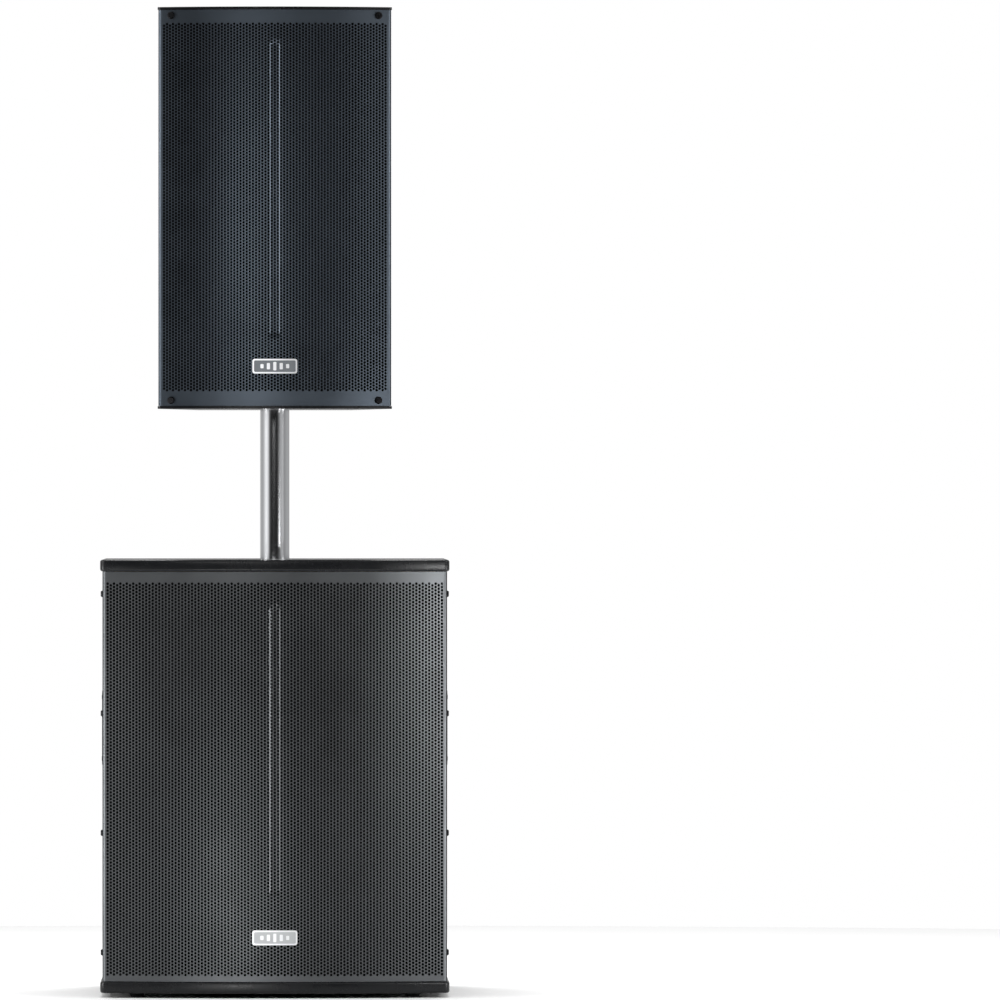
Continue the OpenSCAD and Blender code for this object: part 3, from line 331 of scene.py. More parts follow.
@dataclass(frozen=True)
class Brushed(Finish):
    """A metal with fine lines along one axis.

    Attributes:
        rough: Middle roughness.
        line: Width of the lines in metres.
        run: The direction of the lines.
        depth: Depth of the lines in metres.
    """

    rough: float = 0.28
    line: float = 0.0004
    run: Axis = Axis.ACROSS
    depth: float = 0.00002

    def make(self) -> bpy.types.Material:
        """Makes the metal's material.

        Returns:
            The material.
        """
        graph = Graph(self.name, Metallic=1.0)
        base = linear(*self.tone)
        lines = graph.noise(1.0 / self.line, 3.0, 0.6, graph.stretched(self.run.value))
        graph.colour(graph.shades(lines, [(0.35, scaled(base, 0.78)), (0.65, base)]))
        graph.roughness(graph.remap(lines, self.rough + 0.08, self.rough - 0.06))
        graph.relief(lines, self.depth)
        return graph.material


@dataclass(frozen=True)
class Polished(Finish):
    """Chrome plate with a trace of polishing rings and handling marks.

    Attributes:
        rough: Roughness of a clean patch.
        marked: How much rougher a handled patch is.
        rings: Depth of the polishing rings in metres.
    """

    rough: float = 0.01
    marked: float = 0.014
    rings: float = 0.000003

    def make(self) -> bpy.types.Material:
        """Makes the plating's material.

        Returns:
            The material.
        """
        graph = Graph(self.name, Metallic=1.0)
        base = linear(*self.tone)
        marks = graph.noise(55.0, 6.0, 0.7)
        graph.colour(graph.shades(marks, [(0.3, scaled(base, 0.9)), (0.6, base)]))
        graph.roughness(graph.remap(marks, self.rough + self.marked, self.rough, 0.3, 0.5))
        graph.relief(graph.noise(900.0, 2.0, 0.5, graph.stretched((1.0, 1.0, 0.004))), self.rings)
        return graph.material


@dataclass(frozen=True)
class Foam(Finish):
    """Open-cell acoustic foam, with painted shade in its pores.

    Attributes:
        cell: Size of a cell in metres.
        depth: Depth of a cell in metres.
    """

    cell: float = 0.0012
    depth: float = 0.0006

    def make(self) -> bpy.types.Material:
        """Makes the foam's material.

        Returns:
            The material.
        """
        graph = Graph(self.name, Specular_IOR_Level=0.1)
        cells = graph.add("ShaderNodeTexVoronoi")
        cells.inputs["Scale"].default_value = 1.0 / self.cell
        graph.join(graph.place, cells, "Vector")
        base = linear(*self.tone)
        # Each cell darkens towards its middle, where it is deepest: painted shade in the foam's pores.
        graph.colour(graph.shades(cells.outputs["Distance"], [(0.0, scaled(base, 0.3)), (0.6, base)]))
        graph.roughness(graph.remap(graph.noise(200.0), 0.9, 1.0))
        graph.relief(cells.outputs["Distance"], self.depth)
        return graph.material


@dataclass(frozen=True)
class Plywood(Finish):
    """Bare birch plywood with its plies showing on the edges.

    Attributes:
        ply: Display colour of the darker plies.
        depth: Depth of the grain in metres.
    """

    ply: Colour
    depth: float = 0.0001

    def make(self) -> bpy.types.Material:
        """Makes the plywood's material.

        Returns:
            The material.
        """
        graph = Graph(self.name, Specular_IOR_Level=0.3)
        grain = graph.noise(260.0, 6.0, 0.6, graph.stretched((1.0, 0.7, 0.06)))
        graph.colour(graph.shades(grain, [(0.3, linear(*self.ply)), (0.62, linear(*self.tone))]))
        graph.roughness(graph.remap(grain, 0.55, 0.75))
        graph.relief(grain, self.depth)
        return graph.material


@dataclass(frozen=True)
class Woven(Finish):
    """Cloth or winding with a regular weave, with painted shade between the threads.

    Attributes:
        pitch: Thread spacing in metres.
        metal: Metallic share.
        rough: Middle roughness.
        depth: Depth of the weave in metres.
    """

    pitch: float = 0.0008
    metal: float = 0.0
    rough: float = 0.7
    depth: float = 0.0001

    def make(self) -> bpy.types.Material:
        """Makes the weave's material.

        Returns:
            The material.
        """
        graph = Graph(self.name, Metallic=self.metal)
        threads = graph.add("ShaderNodeTexWave", wave_type="BANDS", bands_direction="Y")
        threads.inputs["Scale"].default_value = 0.3 / self.pitch
        threads.inputs["Distortion"].default_value = 0.6
        graph.join(graph.place, threads, "Vector")
        base = linear(*self.tone)
        # The grooves between threads are darker: painted shade between the threads.
        graph.colour(graph.shades(threads.outputs["Fac"], [(0.0, scaled(base, 0.45)), (0.6, base)]))
        graph.roughness(graph.remap(graph.noise(120.0), self.rough - 0.08, self.rough + 0.08))
        graph.relief(threads.outputs["Fac"], self.depth)
        return graph.material


@dataclass(frozen=True)
class Glow(Finish):
    """A small indicator lens, unlit."""

    def make(self) -> bpy.types.Material:
        """Makes the lens's material.

        Returns:
            The material.
        """
        graph = Graph(self.name, Roughness=0.12, Coat_Weight=0.6, Transmission_Weight=0.2)
        base = linear(*self.tone)
        graph.colour(graph.shades(graph.noise(500.0), [(0.3, scaled(base, 0.7)), (0.7, base)]))
        return graph.material


class Finishes(Enum):
    """Every finish on the stack."""

    SUB_PAINT = Coating("sub_cabinet_paint", (17, 18, 20), 1.07, 0.27, 0.04, 0.0011, 0.00005, sheen=0.26)
    TOP_PAINT = Coating("top_cabinet_paint", (17, 18, 20), 1.07, 0.27, 0.04, 0.0010, 0.00005, sheen=0.26)
    SUB_MESH = Coating("sub_grille_coat", (90, 92, 94), 1.04, 0.36, 0.03, 0.0004, 0.000006, metal=0.9,
                        sheen=0.2, grazing=0.15)
    TOP_MESH = Coating("top_grille_coat", (77, 84, 92), 1.04, 0.34, 0.03, 0.0004, 0.000006, metal=0.9,
                        sheen=0.2, grazing=0.15)
    # Lighter than the mesh coats: a painted highlight along the grille's bend; its lower roughness is real.
    BEND = Coating("grille_bend_lit_coat", (104, 105, 107), 1.04, 0.14, 0.02, 0.0004, 0.000002, metal=0.9,
                   sheen=0.2, grazing=0.15)
    # Near black: painted shade on the walls of the grille's holes.
    SHADED_BORE = Coating("grille_bore_shade_coat", (9, 10, 11), 1.04, 0.7, 0.05, 0.0004, 0.000006, sheen=0.1)
    FOAM = Foam("grille_foam", (6, 6, 7))
    BADGE = Brushed("badge_metal", (232, 233, 235), 0.30, 0.0003, Axis.ACROSS)
    PALE_ENAMEL = Coating("sub_badge_enamel", (178, 180, 182), 1.03, 0.40, 0.04, 0.0003, 0.00001, metal=0.3)
    GREY_ENAMEL = Coating("top_badge_enamel", (108, 112, 116), 1.03, 0.42, 0.04, 0.0003, 0.00001, metal=0.3)
    RUBBER = Coating("foot_rubber", (26, 26, 26), 1.2, 0.75, 0.08, 0.0006, 0.00006, sheen=0.25)
    MOULDED = Coating("moulded_plastic", (33, 33, 35), 1.15, 0.52, 0.06, 0.0006, 0.00006)
    PANEL = Coating("panel_coat", (29, 29, 31), 1.15, 0.5, 0.06, 0.0005, 0.00004, metal=0.2)
    SINK = Brushed("anodised_sink", (44, 45, 49), 0.42, 0.0005, Axis.UP)
    CAST = Coating("cast_basket", (30, 30, 32), 1.2, 0.5, 0.08, 0.0015, 0.00015, metal=0.4)
    FERRITE = Coating("motor_steel", (66, 66, 68), 1.25, 0.45, 0.1, 0.002, 0.0001, metal=0.8)
    PULP = Coating("cone_pulp", (30, 30, 31), 1.3, 0.85, 0.06, 0.0012, 0.00025, sheen=0.2)
    SURROUND = Coating("surround_rubber", (24, 24, 25), 1.2, 0.6, 0.06, 0.001, 0.00008, sheen=0.3)
    SPIDER = Woven("spider_cloth", (176, 132, 62), 0.0009)
    COIL = Woven("coil_winding", (201, 117, 62), 0.0004, metal=1.0, rough=0.35)
    BOARD = Coating("circuit_board", (26, 92, 48), 1.3, 0.35, 0.06, 0.004, 0.0002)
    PLY = Plywood("birch_plywood", (196, 160, 108), (142, 104, 62))
    CONTACTS = Coating("connector_plastic", (24, 24, 26), 1.15, 0.42, 0.05, 0.0004, 0.00003)
    ROCKER = Coating("rocker_plastic", (20, 20, 21), 1.1, 0.24, 0.03, 0.0004, 0.00001, gloss=0.2)
    KNOB = Coating("knob_plastic", (30, 30, 31), 1.15, 0.6, 0.05, 0.0003, 0.00003)
    BUTTON = Coating("button_plastic", (168, 168, 166), 1.05, 0.3, 0.04, 0.0004, 0.00001)
    MARKS = Coating("legend_ink", (214, 214, 210), 1.03, 0.55, 0.04, 0.0003, 0.00001)
    CUP = Coating("cup_coat", (31, 31, 33), 1.15, 0.4, 0.06, 0.0005, 0.00004, metal=0.4)
    CHROME = Polished("pole_chrome", (206, 208, 211))
    NYLON = Coating("turned_nylon", (28, 28, 29), 1.15, 0.5, 0.05, 0.0008, 0.00004)
    HORN = Coating("horn_plastic", (22, 22, 23), 1.15, 0.5, 0.05, 0.0005, 0.00005)
    BLACK_SCREW = Brushed("black_oxide", (40, 40, 42), 0.3, 0.0004, Axis.DEEP)
    BRIGHT_SCREW = Brushed("zinc_plate", (176, 178, 180), 0.3, 0.0003, Axis.DEEP)
    GOLD_PIN = Brushed("gold_contact", (214, 176, 96), 0.2, 0.0003, Axis.DEEP)
    BLUE_INLET = Coating("inlet_plastic", (28, 62, 126), 1.1, 0.4, 0.05, 0.0004, 0.00002)
    GREY_OUTLET = Coating("outlet_plastic", (126, 128, 130), 1.08, 0.4, 0.05, 0.0004, 0.00002)
    GREEN_LENS = Glow("green_lens", (60, 176, 84))
    RED_LENS = Glow("red_lens", (176, 40, 36))

    @property
    def material(self) -> bpy.types.Material:
        """The finish's material, made once."""
        return bpy.data.materials.get(self.value.name) or self.value.make()


def dress(item: bpy.types.Object, *finishes: Finishes) -> bpy.types.Object:
    """Gives an object its finishes.

    Args:
        item: The object.
        finishes: Its finishes, in the order of its material numbers.

    Returns:
        The object.
    """
    item.data.materials.clear()
    for finish in finishes:
        item.data.materials.append(finish.material)
    return item


def place(name: str, data: bpy.types.ID) -> bpy.types.Object:
    """Puts data into the scene.

    Args:
        name: The object's name.
        data: Its mesh, lamp or camera.

    Returns:
        The new object.
    """
    item = bpy.data.objects.new(name, data)
    bpy.context.scene.collection.objects.link(item)
    return item


def mount(mesh: bpy.types.Mesh, finishes: Sequence[Finishes], body: Body,
          smooth_under: float = 35.0) -> bpy.types.Object:
    """Turns a mesh into a finished piece that rides on a body.

    Args:
        mesh: The mesh, which gives the piece its name.
        finishes: Its finishes, in the order of its material numbers.
        body: The body that it rides on.
        smooth_under: Edges flatter than this many degrees are shaded smooth.

    Returns:
        The piece.
    """
    mesh.shade_smooth()
    mesh.set_sharp_from_angle(angle=math.radians(smooth_under))
    item = dress(place(mesh.name, mesh), *finishes)
    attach(item, body.value)
    return item


def piece(name: str, verts: Iterable[Point3], faces: Iterable[Sequence[int]], finish: Finishes,
          body: Body) -> bpy.types.Object:
    """Makes a piece from its corners and faces.

    Args:
        name: The piece's name.
        verts: Its corners in metres.
        faces: Its faces as corner numbers.
        finish: Its finish.
        body: The body that it rides on.

    Returns:
        The piece.
    """
    mesh = bpy.data.meshes.new(name)
    mesh.from_pydata([tuple(map(float, v)) for v in verts], [], [tuple(f) for f in faces])
    mesh.validate()
    mesh.update()
    return mount(mesh, [finish], body)


@dataclass(frozen=True)
class Plan:
    """A cabinet's outline from above, in metres: a bowed front, filleted corners and straight sides.

    Attributes:
        half_front: Half width at the front.
        half_back: Half width at the back.
        front: Depth coordinate of the middle of the front.
        back: Depth coordinate of the back.
        bulge: How far the middle of the front stands ahead of the corners.
        corner: Radius of the front corners.
    """

    half_front: float
    half_back: float
    front: float
    back: float
    bulge: float
    corner: float

    @property
    def radius(self) -> float:
        """Radius of the bowed front."""
        return (self.half_front**2 + self.bulge**2) / (2 * self.bulge)

    @property
    def centre(self) -> float:
        """Depth coordinate of the bow's centre."""
        return self.front + self.radius

    @property
    def run(self) -> np.ndarray:
        """Unit vector along the right side, towards the back."""
        way = np.array([self.half_back - self.half_front, self.back - self.front - self.bulge])
        return way / np.linalg.norm(way)

    @property
    def inward(self) -> np.ndarray:
        """Unit vector from the right side into the cabinet."""
        return np.array([-self.run[1], self.run[0]])

    def fillet(self) -> np.ndarray:
        """Finds the right front corner's fillet.

        Returns:
            Its centre.
        """
        middle = np.array([0.0, self.centre])
        start = np.array([self.half_front, self.front + self.bulge]) + self.inward * self.corner - middle
        ahead = float(start @ self.run)
        off = float(start @ start) - (self.radius - self.corner) ** 2
        return middle + start + self.run * (-ahead - math.sqrt(ahead * ahead - off))

    def front_at(self, inset: float, across: float) -> float:
        """Returns the front's depth coordinate at a distance across, on the outline set in by inset."""
        return self.centre - math.sqrt((self.radius - inset) ** 2 - across * across)

    def side_at(self, inset: float, depth: float) -> np.ndarray:
        """Returns the point of the right side at a depth coordinate, on the outline set in by inset."""
        start = np.array([self.half_front, self.front + self.bulge]) + self.inward * inset
        return start + self.run * ((depth - start[1]) / self.run[1])

    def lengths(self, inset: float, flange_end: float) -> tuple[float, float, float]:
        """Measures the three stretches of the right half of a set-in outline.

        Args:
            inset: How far the outline is set in.
            flange_end: Depth coordinate at which the side stretch ends.

        Returns:
            Lengths of the bow, the fillet and the side stretch.
        """
        k = self.fillet()
        lean = math.atan2(k[0], self.centre - k[1])
        turn = math.atan2(-self.inward[0], self.inward[1])
        round_r = self.corner - inset
        foot = k - self.inward * round_r
        return (self.radius - inset) * lean, round_r * (turn - lean), (flange_end - foot[1]) / self.run[1]

    def along(self, inset: float, lengths: tuple[float, float, float], distance: np.ndarray,
              drop: np.ndarray) -> tuple[np.ndarray, np.ndarray]:
        """Places points along the outline, measured from the middle of the front.

        Args:
            inset: How far the outline is set in.
            lengths: The stretches from lengths().
            distance: Distance along the outline, negative to the left.
            drop: Distance behind the outline for each point.

        Returns:
            The points' x and y.
        """
        s = np.abs(distance)
        bow, bend, _ = lengths
        k = self.fillet()
        bow_r = self.radius - inset
        round_r = self.corner - inset
        lean = bow / bow_r
        a = np.minimum(s, bow) / bow_r
        x_bow = (bow_r - drop) * np.sin(a)
        y_bow = self.centre - (bow_r - drop) * np.cos(a)
        b = lean + np.clip(s - bow, 0, bend) / round_r
        x_bend = k[0] + (round_r - drop) * np.sin(b)
        y_bend = k[1] - (round_r - drop) * np.cos(b)
        beyond = np.maximum(s - bow - bend, 0)
        foot = k - self.inward * round_r
        x_side = foot[0] + self.inward[0] * drop + self.run[0] * beyond
        y_side = foot[1] + self.inward[1] * drop + self.run[1] * beyond
        x = np.where(s <= bow, x_bow, np.where(s <= bow + bend, x_bend, x_side))
        y = np.where(s <= bow, y_bow, np.where(s <= bow + bend, y_bend, y_side))
        return np.where(distance < 0, -x, x), y

    def loop(self, inset: float, bow_steps: int = 72, bend_steps: int = 8) -> list[Point2]:
        """Draws the whole outline, anticlockwise from the left back corner.

        Args:
            inset: How far the outline is set in.
            bow_steps: Facets on the bowed front.
            bend_steps: Facets on each fillet.

        Returns:
            The closed loop's points.
        """
        k = self.fillet()
        lean = math.atan2(k[0], self.centre - k[1])
        turn = math.atan2(-self.inward[0], self.inward[1])
        bow_r = self.radius - inset
        round_r = max(self.corner - inset, 0.4 * MM)
        right: list[Point2] = []
        for i in range(bow_steps // 2 + 1):
            a = lean * i / (bow_steps // 2)
            right.append((bow_r * math.sin(a), self.centre - bow_r * math.cos(a)))
        for i in range(1, bend_steps + 1):
            a = lean + (turn - lean) * i / bend_steps
            right.append((float(k[0]) + round_r * math.sin(a), float(k[1]) - round_r * math.cos(a)))
        corner = self.side_at(inset, self.back - inset)
        right.append((float(corner[0]), float(corner[1])))
        left = [(-x, y) for x, y in reversed(right[1:])]
        return left + right


SUB_PLAN = Plan(0.225, 0.225, -0.260, 0.260, 0.034, 0.009)
TOP_PLAN = Plan(0.1525, 0.100, -0.155, 0.155, 0.028, 0.006)


@dataclass
class PerforatedGrille:
    """A pressed steel grille whose holes stand in staggered columns, made in two mirrored halves.

    Attributes:
        name: Start of the pieces' names.
        node: The plain sheet that the halves stand for.
        plan: The cabinet's outline.
        inset: How far the sheet's face is set in from the outline.
        body: The body that it rides on.
        finish: The coating.
        slot: The record's material slot; not used.
        field: Lowest and highest hole in metres.
        across: Column spacing.
        up: Hole spacing within a column.
        hole: Radius of a hole.
        channel: Bottom and top of the pressed channel.
        edge: Length of plain sheet between the last hole and the bend.
        sheet: Sheet thickness.
        channel_width: Width of the channel.
        channel_depth: Depth of the channel.
        channel_wall: Width of the channel's sloping wall.
    """

    name: str
    node: str
    plan: Plan
    inset: float
    body: Body
    finish: Finishes
    slot: str
    field: tuple[float, float]
    across: float
    up: float
    hole: float
    channel: tuple[float, float]
    edge: float
    sheet: float = 1.5 * MM
    channel_width: float = 15.4 * MM
    channel_depth: float = 3.0 * MM
    channel_wall: float = 5.0 * MM

    def pressed(self, along: np.ndarray, height: np.ndarray) -> np.ndarray:
        """Measures how far the channel pushes the sheet back.

        Args:
            along: Each point's distance along the outline.
            height: Each point's height.

        Returns:
            The depth at each point.
        """
        half = self.channel_width / 2
        low, high = self.channel[0] + half, self.channel[1] - half
        off = np.maximum(np.maximum(low - height, height - high), 0)
        reach = np.sqrt(along**2 + off**2)
        share = np.clip((half + 0.6 * MM - reach) / self.channel_wall, 0, 1)
        return self.channel_depth * share * share * (3 - 2 * share)

    def build(self) -> list[bpy.types.Object]:
        """Builds the grille.

        Returns:
            Its left and right half.
        """
        low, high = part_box(self.node)
        z0, z1 = float(low.z), float(high.z)
        lengths = self.plan.lengths(self.inset, float(high.y))
        total = sum(lengths)
        columns = math.ceil(total / self.across) + 1
        rows = math.ceil((z1 - z0) / self.up) + 3
        middle = (self.field[0] + self.field[1]) / 2
        first = -math.ceil((middle - z0) / self.up) - 1
        column, row = np.meshgrid(np.arange(-columns, columns + 1), np.arange(rows + 1), indexing="ij")
        odd = column % 2
        cu = column * self.across
        cv = middle + (row + first) * self.up + odd * self.up / 2
        open_hole = (np.abs(cu) < lengths[0] - self.edge) & (cv > self.field[0]) & (cv < self.field[1])
        turn = np.radians(np.arange(6) * 60.0)
        u = np.clip(cu[..., None] + self.hole * np.cos(turn), -total, total).reshape(-1)
        v = np.clip(cv[..., None] + self.hole * np.sin(turn), z0, z1).reshape(-1)
        number = np.arange(u.size).reshape(*column.shape, 6)

        drop = self.pressed(u, v)
        fx, fy = self.plan.along(self.inset, lengths, u, drop)
        bx, by = self.plan.along(self.inset, lengths, u, drop + self.sheet)
        points = np.concatenate([np.stack([fx, fy, v], 1), np.stack([bx, by, v], 1)])

        sheet: list[np.ndarray] = []
        for faces in (*self._webs(number, odd), number[~open_hole]):
            faces = self._solid(faces, u, v)
            sheet += [faces, faces[:, ::-1] + u.size]
        sheet += self._hem(sheet, u.size, u, v, (z0, z1, total))
        rims = number[open_hole]
        bores = []
        for k in range(6):
            a, b = rims[:, k], rims[:, (k + 1) % 6]
            bores.append(np.stack([a, b, b + u.size, a + u.size], 1))
        made = []
        for label, want in (("left", -1), ("right", 1)):
            made.append(self._half(label, want, points, np.concatenate([u, u]), sheet, bores, lengths[0]))
            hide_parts(self.node)
        return made

    def _webs(self, number: np.ndarray, odd: np.ndarray) -> list[np.ndarray]:
        """Joins the hexagons' corners into the sheet between the holes.

        Args:
            number: Corner numbers by column, row and corner.
            odd: 1 for the hexagons of the raised columns, 0 for the others.

        Returns:
            The faces as corner numbers.
        """
        a, b = np.meshgrid(np.arange(number.shape[0] - 1), np.arange(1, number.shape[1] - 1), indexing="ij")
        up = b + odd[a, b]
        down = up - 1
        return [
            self._strip(number[:, :-1, 1], number[:, 1:, 5], number[:, 1:, 4], number[:, :-1, 2]),
            self._strip(number[a, b, 0], number[a + 1, up, 4], number[a + 1, up, 3], number[a, b, 1]),
            self._strip(number[a, b, 5], number[a + 1, down, 3], number[a + 1, down, 2], number[a, b, 0]),
            self._strip(number[a, b, 0], number[a + 1, down, 2], number[a + 1, up, 4]),
            self._strip(number[a, b, 1], number[a + 1, up, 3], number[a, b + 1, 5]),
        ]

    @staticmethod
    def _strip(*corners: np.ndarray) -> np.ndarray:
        """Stacks corner numbers into faces."""
        return np.stack([c.reshape(-1) for c in corners], 1)

    @staticmethod
    def _solid(faces: np.ndarray, u: np.ndarray, v: np.ndarray) -> np.ndarray:
        """Drops faces that were squeezed flat at the sheet's edges.

        Args:
            faces: Faces as corner numbers.
            u: Distance along the outline of each corner.
            v: Height of each corner.

        Returns:
            The faces that are left.
        """
        fu, fv = u[faces], v[faces]
        area = np.zeros(len(faces))
        for k in range(faces.shape[1]):
            m = (k + 1) % faces.shape[1]
            area += fu[:, k] * fv[:, m] - fu[:, m] * fv[:, k]
        return faces[area > SLIVER]

    @staticmethod
    def _hem(groups: list[np.ndarray], size: int, u: np.ndarray, v: np.ndarray,
             limits: Point3) -> list[np.ndarray]:
        """Closes the sheet's outer edges.

        Args:
            groups: Faces so far, front ones with numbers under size.
            size: Number of front points.
            u: Distance along the outline of each front point.
            v: Height of each front point.
            limits: The sheet's bottom, its top and its half length.

        Returns:
            The closing faces.
        """
        edges = []
        for faces in groups:
            front = faces[(faces < size).all(1)]
            for k in range(front.shape[1]):
                edges.append(front[:, [k, (k + 1) % front.shape[1]]])
        edges = np.concatenate(edges)
        bottom, top, half = limits
        closing = []
        for at, value in ((v, bottom), (v, top), (u, -half), (u, half)):
            rim = edges[np.isclose(at[edges], value, atol=TOUCHING).all(1)]
            closing.append(np.stack([rim[:, 1], rim[:, 0], rim[:, 0] + size, rim[:, 1] + size], 1))
        return closing

    def _half(self, label: str, want: int, points: np.ndarray, across: np.ndarray, sheet: list[np.ndarray],
              bores: list[np.ndarray], bend: float) -> bpy.types.Object:
        """Makes the half whose faces lie on one side of the middle.

        Args:
            label: The half's name.
            want: 1 for the right half, -1 for the left.
            points: All points.
            across: Distance along the outline of each point.
            sheet: Faces of the sheet.
            bores: Faces that line the holes, which take the near-black coat as painted shade.
            bend: Distance along the outline at which the smoother bend starts; past it the sheet takes a
                lighter coat, a painted highlight along the bend.

        Returns:
            The half, riding on its body.
        """
        loops, sizes, shades = [], [], []
        for faces in (*sheet, *bores):
            mean = across[faces].mean(1)
            side = mean >= 0 if want > 0 else mean < 0
            mine = faces[side]
            loops.append(mine.reshape(-1))
            sizes.append(np.full(len(mine), mine.shape[1]))
            # Faces past the bend take material 1, the lighter bend coat: a painted highlight.
            shades.append((np.abs(mean[side]) > bend).astype(int) if len(shades) < len(sheet)
                          else np.full(len(mine), 2))
        loop = np.concatenate(loops)
        used, index = np.unique(loop, return_inverse=True)
        mesh = bpy.data.meshes.new(f"{self.name}_{label}")
        mesh.vertices.add(len(used))
        mesh.vertices.foreach_set("co", points[used].astype(np.float32).reshape(-1))
        mesh.loops.add(len(index))
        mesh.loops.foreach_set("vertex_index", index.astype(np.int32).reshape(-1))
        size = np.concatenate(sizes)
        mesh.polygons.add(len(size))
        mesh.polygons.foreach_set("loop_start", (np.cumsum(size) - size).astype(np.int32))
        mesh.polygons.foreach_set("loop_total", size.astype(np.int32))
        mesh.polygons.foreach_set("material_index", np.concatenate(shades).astype(np.int32))
        mesh.update(calc_edges=True)
        mesh.validate()
        # Material 2 darkens the holes' walls: painted shade inside the holes.
        return mount(mesh, [self.finish, Finishes.BEND, Finishes.SHADED_BORE], self.body, 38.0)


@dataclass
class RoundedBoard:
    """A cabinet board with softened edges, cut to the cabinet's outline.

    Attributes:
        name: The piece's name.
        node: The plain board that it stands for.
        plan: The cabinet's outline.
        body: The body that it rides on.
        finish: The coating.
        slot: The record's material slot; not used.
        bottom: Lowest height of the full-width part.
        top: Highest height of the full-width part.
        edge: Radius of the softened edges.
        hole: Radius of a round hole about the pole's axis, or zero.
        steps: Facets on each softened edge.
        lip: Depth of the hole's wall.
        round: Facets round the hole.
    """

    name: str
    node: str
    plan: Plan
    body: Body
    finish: Finishes
    slot: str
    bottom: float
    top: float
    edge: float
    hole: float = 0.0
    steps: int = 5
    lip: float = 3.0 * MM
    round: int = 96

    def build(self) -> list[bpy.types.Object]:
        """Builds the board.

        Returns:
            The board alone.
        """
        made = bmesh.new()
        rings: list[list[bmesh.types.BMVert]] = []
        for inset, z in self._profile():
            rings.append([made.verts.new((x, y, z)) for x, y in self.plan.loop(inset)])
        for low, high in zip(rings, rings[1:]):
            self._band(made, low, high)
        self._cap(made, rings[0], self.bottom, self.lip)
        self._cap(made, rings[-1], self.top, -self.lip)
        bmesh.ops.recalc_face_normals(made, faces=made.faces)
        mesh = bpy.data.meshes.new(self.name)
        made.to_mesh(mesh)
        made.free()
        item = mount(mesh, [self.finish], self.body, 32.0)
        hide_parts(self.node)
        return [item]

    def _profile(self) -> list[Point2]:
        """Draws the board's edge from the bottom up.

        Returns:
            The inset and height of each point.
        """
        angles = [math.pi / 2 * k / self.steps for k in range(self.steps + 1)]
        r = self.edge
        low = [(r * (1 - math.sin(a)), self.bottom + r * (1 - math.cos(a))) for a in angles]
        high = [(r * (1 - math.cos(a)), self.top - r + r * math.sin(a)) for a in angles]
        return low + high

    @staticmethod
    def _band(made: bmesh.types.BMesh, low: list[bmesh.types.BMVert], high: list[bmesh.types.BMVert]) -> None:
        """Joins two rings of corners with a band of faces.

        Args:
            made: The mesh under construction.
            low: The first ring.
            high: The second ring, as long as the first.
        """
        n = len(low)
        for k in range(n):
            made.faces.new((low[k], low[(k + 1) % n], high[(k + 1) % n], high[k]))

    def _cap(self, made: bmesh.types.BMesh, ring: list[bmesh.types.BMVert], z: float, lip: float) -> None:
        """Closes one face of the board, leaving its round hole.

        Args:
            made: The mesh under construction.
            ring: The face's outer corners.
            z: The face's height.
            lip: How far up the hole's wall runs from the face.
        """
        edges = [made.edges.get((ring[k], ring[(k + 1) % len(ring)])) for k in range(len(ring))]
        if self.hole:
            turns = [2 * math.pi * k / self.round for k in range(self.round)]
            rim = [made.verts.new((self.hole * math.cos(a), self.hole * math.sin(a), z)) for a in turns]
            edges += [made.edges.new((rim[k], rim[(k + 1) % self.round])) for k in range(self.round)]
            self._band(made, rim, [made.verts.new((v.co.x, v.co.y, z + lip)) for v in rim])
        bmesh.ops.triangle_fill(made, use_beauty=True, use_dissolve=False, edges=edges)


